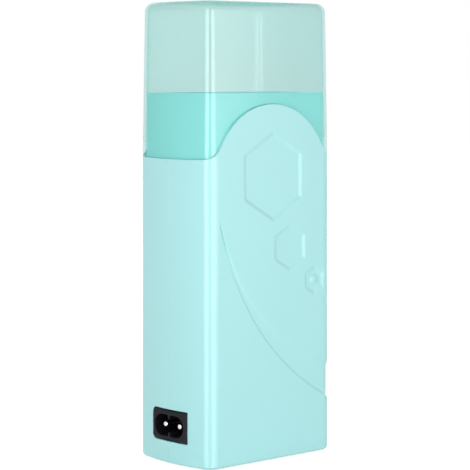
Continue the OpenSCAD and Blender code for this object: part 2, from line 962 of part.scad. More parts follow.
module resistors() {
    lead_z = [-2, resistor_h + 2 - resistor_lead];
    color([0.8, 0.7, 0.55])
        for (side = [-1, 1])
            translate([board_x - resistor_d / 2 - 0.3, side * resistor_y, board_z0 + 10]) {
                cylinder(d = resistor_d, h = resistor_h, $fn = 24);
                translate([0, 0, lead_z[0]])
                    cylinder(d = resistor_lead, h = resistor_h + 4, $fn = 16);
                for (z = lead_z)
                    box([0, -resistor_lead / 2, z],
                        [resistor_d / 2 + 0.3, resistor_lead / 2, z + resistor_lead]);
            }
}

lens_stem_d = 3;
lens_at = [hexagon_x[2], hexagon_z[2]];

module pilot_lens() {
    floor_y = -hd + recess;
    color([0.8, 0.96, 0.95, 0.8])
        translate([lens_at.x, 0, lens_at.y])
            rotate([-90, 0, 0]) {
                translate([0, 0, floor_y - recess / 2])
                    cylinder(d = lens_d, h = recess / 2, $fn = 48);
                translate([0, 0, floor_y - recess])
                    cylinder(d = lens_d - 0.8, h = recess, $fn = 48);
                translate([0, 0, floor_y - tiny])
                    cylinder(d = lens_stem_d, h = wall - recess + 0.2, $fn = 40);
            }
}

led_board = [7, 0.8, 12];
led_size = [1.6, 0.7, 1.6];
led_board_y = -hd + wall + 0.3 + led_size.y;
post_d = 2.6;
stake_d = 1.4;
pilot_post_z = [for (end = [-1, 1]) lens_at.y + end * (led_board.z / 2 - 2)];

module pilot_led_board() {
    color([0.1, 0.4, 0.22])
        difference() {
            translate([lens_at.x, led_board_y, lens_at.y]) {
                box([-led_board.x / 2, 0, -led_board.z / 2],
                    [led_board.x / 2, led_board.y, led_board.z / 2]);
                box([-led_size.x / 2, -led_size.y, -led_size.z / 2],
                    [led_size.x / 2, tiny, led_size.z / 2]);
            }
            for (z = pilot_post_z)
                translate([lens_at.x, 0, z])
                    rotate([90, 0, 0])
                        cylinder(d = stake_d + 0.1, h = big, $fn = 32);
        }
}

// ---- wires ----

function unit(v) = v / norm(v);

// Points on a smooth curve through the given ones.
function smooth(p, steps) =
    let (n = len(p) - 1)
    concat([for (i = [0:n - 1]) for (k = [0:steps - 1])
        let (t = k / steps,
             a = i > 0 ? p[i - 1] : 2 * p[0] - p[1],
             b = p[i],
             c = p[i + 1],
             d = i < n - 1 ? p[i + 2] : 2 * p[n] - p[n - 1])
            0.5 * (2 * b + (c - a) * t + (2 * a - 5 * b + 4 * c - d) * t * t
                + (3 * b - a - 3 * c + d) * t * t * t)],
        [p[n]]);

// A round wire along a path that never runs along the reference direction.
module wire(route, d, reference) {
    path = smooth(route, 4);
    sides = 8;
    last = len(path) - 1;
    rings = [for (i = [0:last])
        let (t = unit(i == 0 ? route[1] - route[0]
                 : i == last ? route[len(route) - 1] - route[len(route) - 2]
                 : path[i + 1] - path[i - 1]),
             u = unit(cross(t, reference)),
             v = cross(t, u))
            for (k = [0:sides - 1])
                path[i] + d / 2 * (u * cos(360 * k / sides) + v * sin(360 * k / sides))];
    skin = [for (i = [0:last - 1]) for (k = [0:sides - 1])
        let (a = i * sides + k, b = i * sides + (k + 1) % sides)
            each [[a, b, a + sides], [b, b + sides, a + sides]]];
    polyhedron(rings, concat([[for (k = [sides - 1:-1:0]) k]], skin,
        [[for (k = [0:sides - 1]) last * sides + k]]));
}

tag_end_x = inlet_back_x + tag_len;
tag_y = pin_pitch / 2;
aslant = [0.1, 1, 0.17];
mains_pad_rise = 5;
mains_pad_inset = 5.8;
heater_pad_inset = 7.8;
control_pad_y = 6;
mains_pad = [board_edge - mains_pad_inset, board_z0 + mains_pad_rise];
heater_pad = [board_edge - heater_pad_inset, pad_z];
control_pad = [control_pad_y, pad_z];

// From one tag of the inlet past the boss to the board's lower corner on that side.
module mains_wire(side) {
    b = wire_bend;
    wire([[tag_end_x, side * tag_y, inlet_centre_z],
          [tag_end_x + b, side * tag_y, inlet_centre_z],
          [tag_end_x + 3 * b, side * 2 * b, inlet_centre_z + 2 * b / 3],
          [board_x - 3.3 * b, side * 3 * b, inlet_centre_z - 2 * b / 3],
          [board_x - b, side * mains_pad[0], mains_pad[1]],
          [board_x, side * mains_pad[0], mains_pad[1]]],
        wire_d, side * aslant);
}

module live_wire() {
    color("saddlebrown")
        mains_wire(-1);
}

module neutral_wire() {
    color("royalblue")
        mains_wire(1);
}

thermostat_tab_z = thermostat_z - thermostat_tab.z;

module thermostat_wire() {
    b = wire_bend;
    x = thermostat_x + thermostat_tab_x;
    z = thermostat_tab_z;
    color("firebrick")
        wire([[board_x, control_pad[0], control_pad[1]],
              [board_x - 0.7 * b, control_pad[0], control_pad[1]],
              [board_x - 1.7 * b, control_pad[0] - b / 3, control_pad[1] - 1.3 * b],
              [x + 1.2 * b, 0.7 * b, z - b],
              [x, 0, z - 0.9 * b],
              [x, 0, z]],
            wire_d, aslant);
}

module fuse_wire() {
    b = wire_bend;
    x = thermostat_x - thermostat_tab_x;
    z = thermostat_tab_z;
    color("firebrick")
        wire([[x, 0, z],
              [x, 0, z - 0.7 * b],
              [x - 1.7 * b, 0, z - b / 3],
              [fuse_x / 2, 0, cup_z - 3.3 * b],
              [fuse_x + b, 0, cup_z - 2 * b],
              [fuse_x, 0, cup_z - 0.7 * b],
              [fuse_x, 0, fuse_z - lead_h]],
            wire_d, aslant);
}

// From the splice round the cup's corner to the tail of that side's stack.
module link_wire(side) {
    b = wire_bend;
    z = splice_z + splice_h;
    y = wire_d / 2 + 0.1;
    corner_x = -cup_out_w / 2 + cup_r / 2;
    wire([[fuse_x, side * y, z],
          [fuse_x, side * y, z + 0.5 * b],
          [fuse_x, side * (y + 0.2 * b), z + 0.8 * b],
          [fuse_x, side * (y + 1.2 * b), z + 1.1 * b],
          [fuse_x + 0.3 * b, side * (y + 3.3 * b), z + 0.3 * b],
          [corner_x - 0.7 * b, side * (tail_y - 0.5 * b), z - b],
          [corner_x + 1.3 * b, side * tail_y, z - 3 * b],
          [-tail_x - 1.3 * b, side * tail_y, tail_z - 1.7 * b],
          [-tail_x, side * tail_y, tail_z - 1.2 * b],
          [-tail_x, side * tail_y, tail_z]],
        wire_d, [1, 0.04, 0.6]);
}

module front_link_wire() {
    color("firebrick")
        link_wire(-1);
}

module rear_link_wire() {
    color("firebrick")
        link_wire(1);
}

// From the board up past the cup's foot to the other tail of that side's stack.
module heater_wire(side) {
    b = wire_bend;
    wire([[board_x, side * heater_pad[0], heater_pad[1]],
          [board_x - 0.8 * b, side * heater_pad[0], heater_pad[1]],
          [board_x - 2.3 * b, side * (heater_pad[0] + 0.8 * b), heater_pad[1] + b],
          [tail_x + b, side * (tail_y - 0.1 * b), cup_z - b / 3],
          [tail_x, side * tail_y, cup_z + 2 * b],
          [tail_x, side * tail_y, tail_z]],
        wire_d, [0, 1, 0.05]);
}

module front_heater_wire() {
    color("royalblue")
        heater_wire(-1);
}

module rear_heater_wire() {
    color("royalblue")
        heater_wire(1);
}

pilot_wire_d = 0.8;

module pilot_wires() {
    b = wire_bend;
    z = lens_at.y - led_board.z / 2;
    y = led_board_y + led_board.y / 2;
    end_x = board_x + board_t / 2;
    color("dimgray")
        for (x = [-b / 2, b / 2])
            wire([[lens_at.x + x, y, z],
                  [lens_at.x + x, y, z - 1.3 * b],
                  [lens_at.x + x - b / 3, y, cup_z],
                  [end_x + x - b, y + b / 3, board_z1 + b],
                  [end_x, y + x + b, board_z1 + b / 3],
                  [end_x, y + x + b, board_z1]],
                pilot_wire_d, [1, 0.03, 0]);
}

front_shell();
rear_shell();
cap();
neck_ring();
base_plate();
base_screws();
rubber_feet();
heating_cup();
heater_stones();
electrode_sheets();
insulating_films();
heater_clip();
thermostat();
thermostat_bracket();
thermal_fuse();
wire_splice();
inlet_housing();
inlet_pins();
level_window();
power_button();
switch_plunger();
switch_body();
circuit_board();
capacitor();
resistors();
pilot_lens();
pilot_led_board();
live_wire();
neutral_wire();
thermostat_wire();
fuse_wire();
front_link_wire();
rear_link_wire();
front_heater_wire();
rear_heater_wire();
pilot_wires();
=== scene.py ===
"""The roll-on wax heater's looks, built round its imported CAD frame.

Sizes are millimetres in the frame that the CAD uses: +Z up, the floor at z = 0, the
decorated broad face along -Y, the mains inlet along -X, window and button along +X.
Meshes are scaled to metres when they are made.
"""

import math

import bmesh
import bpy
import numpy as np
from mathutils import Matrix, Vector
from mathutils.geometry import delaunay_2d_cdt


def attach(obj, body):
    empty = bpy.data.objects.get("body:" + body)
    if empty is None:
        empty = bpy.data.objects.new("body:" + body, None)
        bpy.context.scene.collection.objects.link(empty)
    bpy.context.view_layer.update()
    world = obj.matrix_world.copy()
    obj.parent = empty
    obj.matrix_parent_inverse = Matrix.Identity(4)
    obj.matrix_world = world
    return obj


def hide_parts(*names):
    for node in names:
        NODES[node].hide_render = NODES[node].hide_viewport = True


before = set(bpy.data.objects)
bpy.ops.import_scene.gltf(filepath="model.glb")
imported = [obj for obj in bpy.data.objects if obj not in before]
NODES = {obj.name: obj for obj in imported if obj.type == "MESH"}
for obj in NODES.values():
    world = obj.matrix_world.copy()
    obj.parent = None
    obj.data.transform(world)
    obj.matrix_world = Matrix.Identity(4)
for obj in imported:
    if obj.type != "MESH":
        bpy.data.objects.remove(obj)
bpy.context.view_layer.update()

MM = 0.001

# ---- sizes, as in the CAD ----

HALF_W = 35.0
HALF_D = 21.8
CORNER_R = 5.2
SIDE_BOW = 1.9
WALL = 2.2
FOOT_R = 1.3
BODY_Z = 0.6
SHOULDER_Z = 119.2
NECK_RIM_Z = 143.3
NECK_TOP_Z = 144.8
ARCH_RISE = 21.2
ARCH_R = 30.2
ARCH_SLOPE = math.radians(57.5)
ARCH_FILLET = 8.6
CAP_TOP_Z = 180.6
CAP_DRAFT = 0.9
CAP_ROUND = 4.0
RECESS = 0.6
BAND_LOWER = (76.3, 117.9, 106.6)     # circles on the front face: x, z and radius
BAND_UPPER = (58.3, 123.2, 90.3)
MOUTH_W = 56.0
MOUTH_D = 30.0
MOUTH_R = 6.5
FLANGE_Z = 133.6     # the ring's lower end, on the cup's flange
INLET_W = 20.6
INLET_CORNER = 1.8
INLET_DEPTH = 16.0
SOCKET_DEPTH = 11.0
SOCKET_R = 4.2
PIN_PITCH = 8.6
PIN_R = 1.2
PIN_SUNK = 1.6
PIN_Z = 15.2
BUTTON_Z = 27.79
BUTTON_R = 5.0
BUTTON_GAP = 0.3
WINDOW_Z = 88.6
WINDOW_W = 8.0
WINDOW_H = 50.0
FIT = 0.15
LENS_D = 4.4

# ---- sizes that depart from the CAD, to look as in the photograph ----

NECK_INSET = 1.78    # the neck fills the cap, whose wall magnifies it
NECK_WALL = 2.52
CAP_WALL = 1.2
CAP_TOP_WALL = 0.4   # the cap's ceiling is thin, so that its tint stays light
CAP_GAP = 0.06       # between the shoulder and the cap's lower edge
HEXAGONS = ((0.4, 111.9, 34.0), (9.4, 83.6, 17.7), (22.9, 69.7, 10.8))   # x, z and height
INLET_Z = 15.4
INLET_H = 12.2

# ---- small shapes that only the looks have ----

RIM_R = 0.18         # rounding along the shoulder and the arch
SEAM_R = 0.22        # rounding along the parting line
HOLE_R = 0.2         # rounding round the openings in the casing
COVE_R = 0.25        # hollow at the neck's foot
NECK_EDGE_R = 0.08   # rounding of the neck's top, and of the ring's lower edge
CAP_EDGE_R = 0.12    # rounding of the cap's lower edge
SHARP_R = 0.02       # the radius below which a corner counts as sharp
INLET_SHARP_R = 0.05     # the inlet's corners in the front half
HEX_CORNER = 1.0     # rounding of the hexagons' corners
HEX_WALL = 2.1       # width of the hexagons' sloping walls
LOWER_WALL = 1.3     # width of the band's crisp lower wall
UPPER_WALL = 2.8     # width of the band's soft upper wall
LOWER_SHARE = 0.3    # their widths where the band is narrow, as shares of its own
UPPER_SHARE = 0.55
NARROWEST = 0.35
BAND_START = -28.6   # where the band's sharp end begins, across the front
BAND_TOP_GAP = 5.0   # the band ends this far under the shoulder
TOOTH_TIP = 2.5      # height of the tips of the socket's teeth over its middle
TOOTH_TIP_R = 0.25
TOOTH_SHOULDER = 0.6     # rounding between a tooth's root and the lobe's flat top
TOOTH_LEAN = 18      # degrees between a tooth's flank and the vertical

# ---- the outline of one half, by the length along it from the inlet side's middle ----

CORNER_X = HALF_W - CORNER_R - SIDE_BOW
CORNER_Y = HALF_D - CORNER_R
BOW_R = (CORNER_Y ** 2 + SIDE_BOW ** 2) / (2 * SIDE_BOW) + CORNER_R
BOW_A = math.asin(CORNER_Y / (BOW_R - CORNER_R))
BOW_X = CORNER_X + SIDE_BOW + CORNER_R - BOW_R
BOW_LEN = BOW_R * BOW_A
CORNER_LEN = CORNER_R * (math.pi / 2 - BOW_A)
FLAT_FROM = BOW_LEN + CORNER_LEN
LENGTH = 2 * (FLAT_FROM + CORNER_X)

# ---- how fine the meshes are: steps along the outline, and shares of a wall or rounding ----

SEAM_STEPS = (0.0, 0.13, 0.5, 1.0)
BOW_STEP = 1.5
CORNER_STEP = 0.4
FLAT_STEP = 1.2
BAND_POINTS = 150
BAND_CROWDING = 1.7  # how much closer the band's points lie towards its sharp end
ROUND_STEPS = (0.034, 0.134, 0.293, 0.5, 0.741, 1.0)
HOLE_STEPS = (0.134, 0.5, 1.0)
WALL_STEPS = (0.0, 0.1, 0.22, 0.36, 0.5, 0.64, 0.78, 0.9, 1.0)
TOUCHING = 2e-3      # points this close lie on the same line


def skin(s):
    """Points (x, y) of the front half's outline and the outward normals (nx, ny)."""
    s = np.asarray(s, float)
    side = np.where(s < LENGTH / 2, -1.0, 1.0)
    t = np.minimum(s, LENGTH - s)
    bow = t < BOW_LEN
    corner = (t >= BOW_LEN) & (t < FLAT_FROM)
    a = np.where(bow, t / BOW_R, BOW_A + (t - BOW_LEN) / CORNER_R)
    a = np.where(bow | corner, a, math.pi / 2)
    nx, ny = np.cos(a), -np.sin(a)
    nx = np.where(bow | corner, nx, 0.0)
    x = np.where(bow, BOW_X + BOW_R * nx, np.where(corner, CORNER_X + CORNER_R * nx,
                                                    CORNER_X - (t - FLAT_FROM)))
    y = np.where(bow, BOW_R * ny, np.where(corner, -CORNER_Y + CORNER_R * ny, -HALF_D))
    return x * side, y, nx * side, ny


def arch(x, gap=0.0):
    """Height of the line that the cap's edge follows, over a place across the front."""
    x = np.abs(np.asarray(x, float))
    r, f = ARCH_R + gap, ARCH_FILLET - gap
    centre = SHOULDER_Z + ARCH_RISE - ARCH_R
    sin, cos = math.sin(ARCH_SLOPE), math.cos(ARCH_SLOPE)
    foot_x = (ARCH_R + ARCH_FILLET + (centre - SHOULDER_Z - ARCH_FILLET) * cos) / sin
    foot_z = SHOULDER_Z + ARCH_FILLET
    crown = centre + np.sqrt(np.maximum(r * r - x * x, 0))
    flank = centre + r * cos - (x - r * sin) * sin / cos
    tail = foot_z - np.sqrt(np.maximum(f * f - (foot_x - x) ** 2, 0))
    z = np.where(x < r * sin, crown, np.where(x < foot_x - f * sin, flank, tail))
    return np.where(x > foot_x, SHOULDER_Z + gap, z)


def slope(height, s, step=0.02):
    return (height(s + step) - height(s - step)) / (2 * step)


def steepness(height, s):
    """Length along a sloping line for each length across it."""
    return np.sqrt(1 + slope(height, s) ** 2)


def rim_z(s):
    """Height of the casing's shoulder and arch, along the outline."""
    return arch(skin(s)[0])


def circle_z(s, circle):
    """The lower side of a circle that is drawn on the front, along the outline."""
    x = skin(s)[0]
    return circle[1] - np.sqrt(np.maximum(circle[2] ** 2 - (x - circle[0]) ** 2, 0))


def lower_z(s):
    return circle_z(s, BAND_LOWER)


def upper_z(s):
    return circle_z(s, BAND_UPPER)


def band_widths(s):
    """Widths of the band's lower and upper wall, which close up towards its sharp end."""
    gap = (upper_z(s) - lower_z(s)) / steepness(lower_z, s)
    return (np.clip(LOWER_SHARE * gap, NARROWEST, LOWER_WALL),
            np.clip(UPPER_SHARE * gap, NARROWEST, UPPER_WALL))


def smooth(t):
    t = np.clip(t, 0, 1)
    return t * t * (3 - 2 * t)


def rounding(distance, r):
    """How far a rounded edge falls back at a distance from it."""
    t = np.clip(distance / r, 1e-4, 1)
    return r - r * np.sqrt(np.maximum(1 - (1 - t) ** 2, 0))


def hexagon_inside(x, z, hexagon):
    """Distance inside a hexagon with rounded corners."""
    cx, cz, height = hexagon
    px, pz = np.abs(z - cz), np.abs(x - cx)
    apothem = height / 2 * math.cos(math.pi / 6) - HEX_CORNER
    k = (-math.sqrt(3) / 2, 0.5, 1 / math.sqrt(3))
    turn = 2 * np.minimum(k[0] * px + k[1] * pz, 0)
    px, pz = px - turn * k[0], pz - turn * k[1]
    px = px - np.clip(px, -k[2] * apothem, k[2] * apothem)
    pz = pz - apothem
    return HEX_CORNER - np.hypot(px, pz) * np.sign(pz)


def box_outside(u, v, half_u, half_v, r):
    """Distance outside a rounded rectangle."""
    qu, qv = np.abs(u) - half_u + r, np.abs(v) - half_v + r
    return np.hypot(np.maximum(qu, 0), np.maximum(qv, 0)) + np.minimum(np.maximum(qu, qv), 0) - r


def inlet_corner(rear):
    return INLET_CORNER + FIT if rear else INLET_SHARP_R


def holes(s, z, rear):
    """Distance outside the nearest opening of a half."""
    right = LENGTH - s
    inlet = box_outside(s, z - INLET_Z, INLET_W / 2 + FIT, INLET_H / 2 + FIT,
                        inlet_corner(rear))
    window = box_outside(right, z - WINDOW_Z, WINDOW_W / 2 + FIT, WINDOW_H / 2 + FIT,
                         WINDOW_W / 2 + FIT)
    button = np.hypot(right, z - BUTTON_Z) - BUTTON_R - BUTTON_GAP
    return np.minimum(np.minimum(inlet, window), button)


def recess_depth(s, z):
    x = skin(s)[0]
    depth = np.zeros_like(x)
    for hexagon in HEXAGONS:
        depth = np.maximum(depth, smooth(hexagon_inside(x, z, hexagon) / HEX_WALL + 0.5))
    low = (z - lower_z(s)) / steepness(lower_z, s)
    high = (upper_z(s) - z) / steepness(upper_z, s)
    lower, upper = band_widths(s)
    band = np.minimum(smooth(low / lower), smooth(high / upper) ** 1.5)
    band = np.where(x > BAND_LOWER[0] - BAND_LOWER[2] + 1, band, 0)
    return RECESS * np.maximum(depth, band)


def inset(s, z, rear):
    """How far the casing's visible skin lies behind the plain outline."""
    depth = recess_depth(s, z)
    depth = depth + rounding((rim_z(s) - z) / steepness(rim_z, s), RIM_R)
    depth = depth + rounding(np.minimum(s, LENGTH - s), SEAM_R)
    depth = depth + rounding(holes(s, z, rear), HOLE_R)
    return depth + rounding(z - BODY_Z, FOOT_R)


def skin_normals(s, z, rear):
    step = 0.004
    nx, ny = skin(s)[2:]
    s0, s1 = np.clip(s - step, 0, LENGTH), np.clip(s + step, 0, LENGTH)
    ds = (inset(s1, z, rear) - inset(s0, z, rear)) / (s1 - s0)
    dz = (inset(s, z + step, rear) - inset(s, z - step, rear)) / (2 * step)
    n = np.stack([nx - ny * ds, ny + nx * ds, dz], 1)
    return n / np.linalg.norm(n, axis=1)[:, None]


# ---- mesh making ----

def anticlockwise(points, area):
    p = np.array([points[i] for i in area])
    q = np.roll(p, -1, 0)
    turn = np.sum(p[:, 0] * q[:, 1] - p[:, 1] * q[:, 0])
    return area if turn > 0 else area[::-1]


class Sheet:
    """Points, faces and corner normals, gathered before one mesh is made of them.

    kind is the place, in the piece's materials, of the one that the next faces get.
    """

    def __init__(self):
        self.points, self.faces, self.normals = [], [], []
        self.kind, self.kinds = 0, []

    def add(self, xyz):
        start = len(self.points)
        self.points += [tuple(float(c) for c in p) for p in xyz]
        return list(range(start, start + len(xyz)))

    def face(self, corners, normals):
        self.faces.append(tuple(corners))
        self.kinds.append(self.kind)
        self.normals.append([tuple(float(c) for c in n) for n in normals])

    def strip(self, a, b, normals_a, normals_b, closed=False):
        """Quads between two rows of points, each with its own row of normals."""
        n = len(a)
        for i in range(n if closed else n - 1):
            j = (i + 1) % n
            self.face((a[i], a[j], b[j], b[i]),
                      (normals_a[i], normals_a[j], normals_b[j], normals_b[i]))

    def strips(self, rows, closed=False):
        """Quads from each row to the next. A row is its points and their normals."""
        for a, b in zip(rows, rows[1:]):
            self.strip(a[0], b[0], a[1], b[1], closed)

    def fill(self, loops, normal):
        """Triangles over the flat area inside the first loop and outside the others."""
        u_axis, v_axis = (axis for axis in range(3) if not normal[axis])
        flat, faces, ids = [], [], []
        for loop in loops:
            faces.append(list(range(len(flat), len(flat) + len(loop))))
            ids += loop
            flat += [Vector((self.points[i][u_axis], self.points[i][v_axis])) for i in loop]
        faces = [anticlockwise(flat, f) for f in faces]
        out = delaunay_2d_cdt(flat, [], faces, 1, 1e-6)
        for f, inside in zip(out[2], out[5]):
            if set(inside) != {0}:
                continue
            corners = [ids[out[3][i][0]] for i in f]
            a, b, c = (np.array(self.points[i]) for i in corners)
            if np.dot(np.cross(b - a, c - a), normal) < 0:
                corners.reverse()
            self.face(corners, [normal] * 3)

    def welded(self):
        """One point for each place, and no face or corner that has shrunk to nothing."""
        cells, shift = 499.7, 0.137     # cells of 0.002 mm, with no round size on a border
        keys, points, number = {}, [], []
        for p in self.points:
            key = tuple(round(c * cells + shift) for c in p)
            if key not in keys:
                keys[key] = len(points)
                points.append(p)
            number.append(keys[key])
        faces, normals, kinds = [], [], []
        for f, n, kind in zip(self.faces, self.normals, self.kinds):
            f = [number[i] for i in f]
            keep = [i for i in range(len(f)) if f[i] != f[i - 1]]
            if len(keep) > 2:
                faces.append([f[i] for i in keep])
                normals.append([n[i] for i in keep])
                kinds.append(kind)
        self.points, self.faces, self.normals, self.kinds = points, faces, normals, kinds

    def close(self, normal):
        """Fill the flat openings that are left, with one normal."""
        bm = bmesh.new()
        for p in self.points:
            bm.verts.new(p)
        bm.verts.ensure_lookup_table()
        for f in self.faces:
            bm.faces.new([bm.verts[i] for i in f])
        old = set(bm.faces)
        rims = [e for e in bm.edges if e.is_boundary]
        bmesh.ops.edgeloop_fill(bm, edges=rims)
        bmesh.ops.triangulate(bm, faces=[f for f in bm.faces if f not in old])
        bm.verts.index_update()
        for f in bm.faces:
            if f not in old:
                self.face([v.index for v in f.verts], [normal] * 3)
        bm.free()

    def mesh(self, name, mirror=False):
        self.welded()
        points = np.array(self.points, float)
        faces, normals = self.faces, self.normals
        if mirror:
            points[:, 1] *= -1
            faces = [f[::-1] for f in faces]
            normals = [[(x, -y, z) for x, y, z in n[::-1]] for n in normals]
        mesh = bpy.data.meshes.new(name)
        mesh.from_pydata((points * MM).tolist(), [], faces)
        mesh.update()
        mesh.shade_smooth()
        mesh.normals_split_custom_set([n for face in normals for n in face])
        mesh.polygons.foreach_set("material_index", self.kinds)
        return mesh


def graded(start, end, step):
    count = max(1, round(abs(end - start) / step))
    return np.linspace(start, end, count + 1)


def outline_stops():
    """Lengths along the outline at which the meshes have points."""
    side = np.concatenate([np.array(SEAM_STEPS) * SEAM_R,
                           graded(SEAM_R, BOW_LEN, BOW_STEP)[1:],
                           graded(BOW_LEN, FLAT_FROM, CORNER_STEP)[1:]])
    return np.concatenate([side, graded(FLAT_FROM, LENGTH - FLAT_FROM, FLAT_STEP)[1:-1],
                           (LENGTH - side)[::-1]])


class Chart:
    """A flat drawing of one half's skin: the lines that its triangles must keep."""

    def __init__(self):
        self.points, self.edges, self.areas = [], [], []

    def line(self, s, z, closed=False):
        start = len(self.points)
        self.points += [Vector((float(a), float(b))) for a, b in zip(s, z)]
        n = len(s)
        for i in range(n if closed else n - 1):
            self.edges.append((start + i, start + (i + 1) % n))
        return list(range(start, start + n))

    def triangles(self):
        """Points and triangles inside the first area and outside all the others."""
        areas = [anticlockwise(self.points, area) for area in self.areas]
        out = delaunay_2d_cdt(self.points, self.edges, areas, 1, 1e-4)
        flat = np.array([(v.x, v.y) for v in out[0]])
        faces = []
        for f, inside in zip(out[2], out[5]):
            if set(inside) != {0}:
                continue
            a, b, c = flat[f]
            turn = (b[0] - a[0]) * (c[1] - a[1]) - (b[1] - a[1]) * (c[0] - a[0])
            faces.append(list(f) if turn > 0 else list(f)[::-1])
        used = sorted({i for f in faces for i in f})
        number = {old: new for new, old in enumerate(used)}
        return flat[used], [[number[i] for i in f] for f in faces]


def boundary(faces):
    """The directed edges that only one triangle uses."""
    edges = {(f[i], f[(i + 1) % 3]) for f in faces for i in range(3)}
    return [e for e in edges if e[::-1] not in edges]


def slanted(height, s, distance):
    """Heights of a line at a distance above another."""
    return height(s) + distance * steepness(height, s)


def arc(cu, cv, r, start, end, count):
    a = np.radians(np.linspace(start, end, count + 1))
    return cu + r * np.cos(a), cv + r * np.sin(a)


def inlet_outline(grow, rear):
    u, v = INLET_W / 2 + FIT + grow, INLET_H / 2 + FIT + grow
    r = inlet_corner(rear) + grow
    top = arc(u - r, INLET_Z + v - r, r, 0, 90, 8)
    low = arc(u - r, INLET_Z - v + r, r, -90, 0, 8)
    return (np.concatenate([[0], low[0], top[0], [0]]),
            np.concatenate([[INLET_Z - v], low[1], top[1], [INLET_Z + v]]))


def window_outline(grow):
    r = WINDOW_W / 2 + FIT + grow
    half = (WINDOW_H - WINDOW_W) / 2
    top = arc(0, WINDOW_Z + half, r, 0, 90, 16)
    low = arc(0, WINDOW_Z - half, r, -90, 0, 16)
    return LENGTH - np.concatenate([low[0], top[0]]), np.concatenate([low[1], top[1]])


def button_outline(grow):
    s, z = arc(0, BUTTON_Z, BUTTON_R + BUTTON_GAP + grow, -90, 90, 40)
    return LENGTH - s, z


def hole_outlines(grow, rear):
    return inlet_outline(grow, rear), window_outline(grow), button_outline(grow)


def hexagon_outline(hexagon, distance):
    """A hexagon's outline, moved inwards by a distance, on the flat drawing."""
    cx, cz, height = hexagon
    apothem = height / 2 * math.cos(math.pi / 6)
    r = max(HEX_CORNER - distance, 0.0)
    corner = (apothem - distance - r) / math.cos(math.pi / 6)
    x, z = [], []
    for a in range(30, 390, 60):
        px = cx + corner * math.cos(math.radians(a))
        pz = cz + corner * math.sin(math.radians(a))
        px, pz = arc(px, pz, r, a - 30, a + 30, 5) if r > SHARP_R else ([px], [pz])
        x += list(px)
        z += list(pz)
    return np.array(x) + LENGTH / 2, np.array(z)


def uprights(chart, stops, tops):
    """Upright lines over the curved parts of the outline."""
    for s, top in zip(stops, tops):
        if min(s, LENGTH - s) <= FLAT_FROM + 1e-6:
            chart.line([s, s], [BODY_Z, top])


def skin_areas(chart, low_stops, top_stops, top_z, rear):
    """The whole half, and the openings in it, as areas of a chart."""
    bottom = chart.line(low_stops, np.full(len(low_stops), BODY_Z))
    top = chart.line(top_stops, top_z)
    chart.areas = [bottom + top[::-1]]
    chart.areas += [chart.line(*outline) for outline in hole_outlines(0, rear)]


def outer_chart(rear):
    stops = outline_stops()
    chart = Chart()
    tops = rim_z(stops)
    skin_areas(chart, stops, stops, tops, rear)
    for t in ROUND_STEPS:
        chart.line(stops, np.full(len(stops), BODY_Z + FOOT_R * t))
        chart.line(stops, slanted(rim_z, stops, -RIM_R * t))
    uprights(chart, stops, tops)
    for hexagon in HEXAGONS:
        for t in WALL_STEPS:
            chart.line(*hexagon_outline(hexagon, HEX_WALL * (t - 0.5)), closed=True)
    overlap = 0.3     # how far the walls' lines run on where the walls meet
    start = LENGTH / 2 + BAND_START
    along = start + (LENGTH - start) * np.linspace(0, 1, BAND_POINTS) ** BAND_CROWDING
    for t in WALL_STEPS:
        lower, upper = band_widths(along)
        low, high = slanted(lower_z, along, lower * t), slanted(upper_z, along, -upper * t)
        for z, inside in ((low, low < upper_z(along) + overlap),
                          (high, high > lower_z(along) - overlap)):
            inside &= z < SHOULDER_Z - BAND_TOP_GAP
            if inside.any():
                chart.line(along[inside], z[inside])
    for t in HOLE_STEPS:
        for outline in hole_outlines(HOLE_R * t, rear):
            chart.line(*outline)
    return chart


def behind(s, z, depth):
    """Points at a depth behind the front half's plain outline."""
    x, y, nx, ny = skin(s)
    return np.stack([x - depth * nx, y - depth * ny, z + 0 * x], 1)


def outward(s):
    nx, ny = skin(s)[2:]
    return np.stack([nx, ny, 0 * nx], 1)


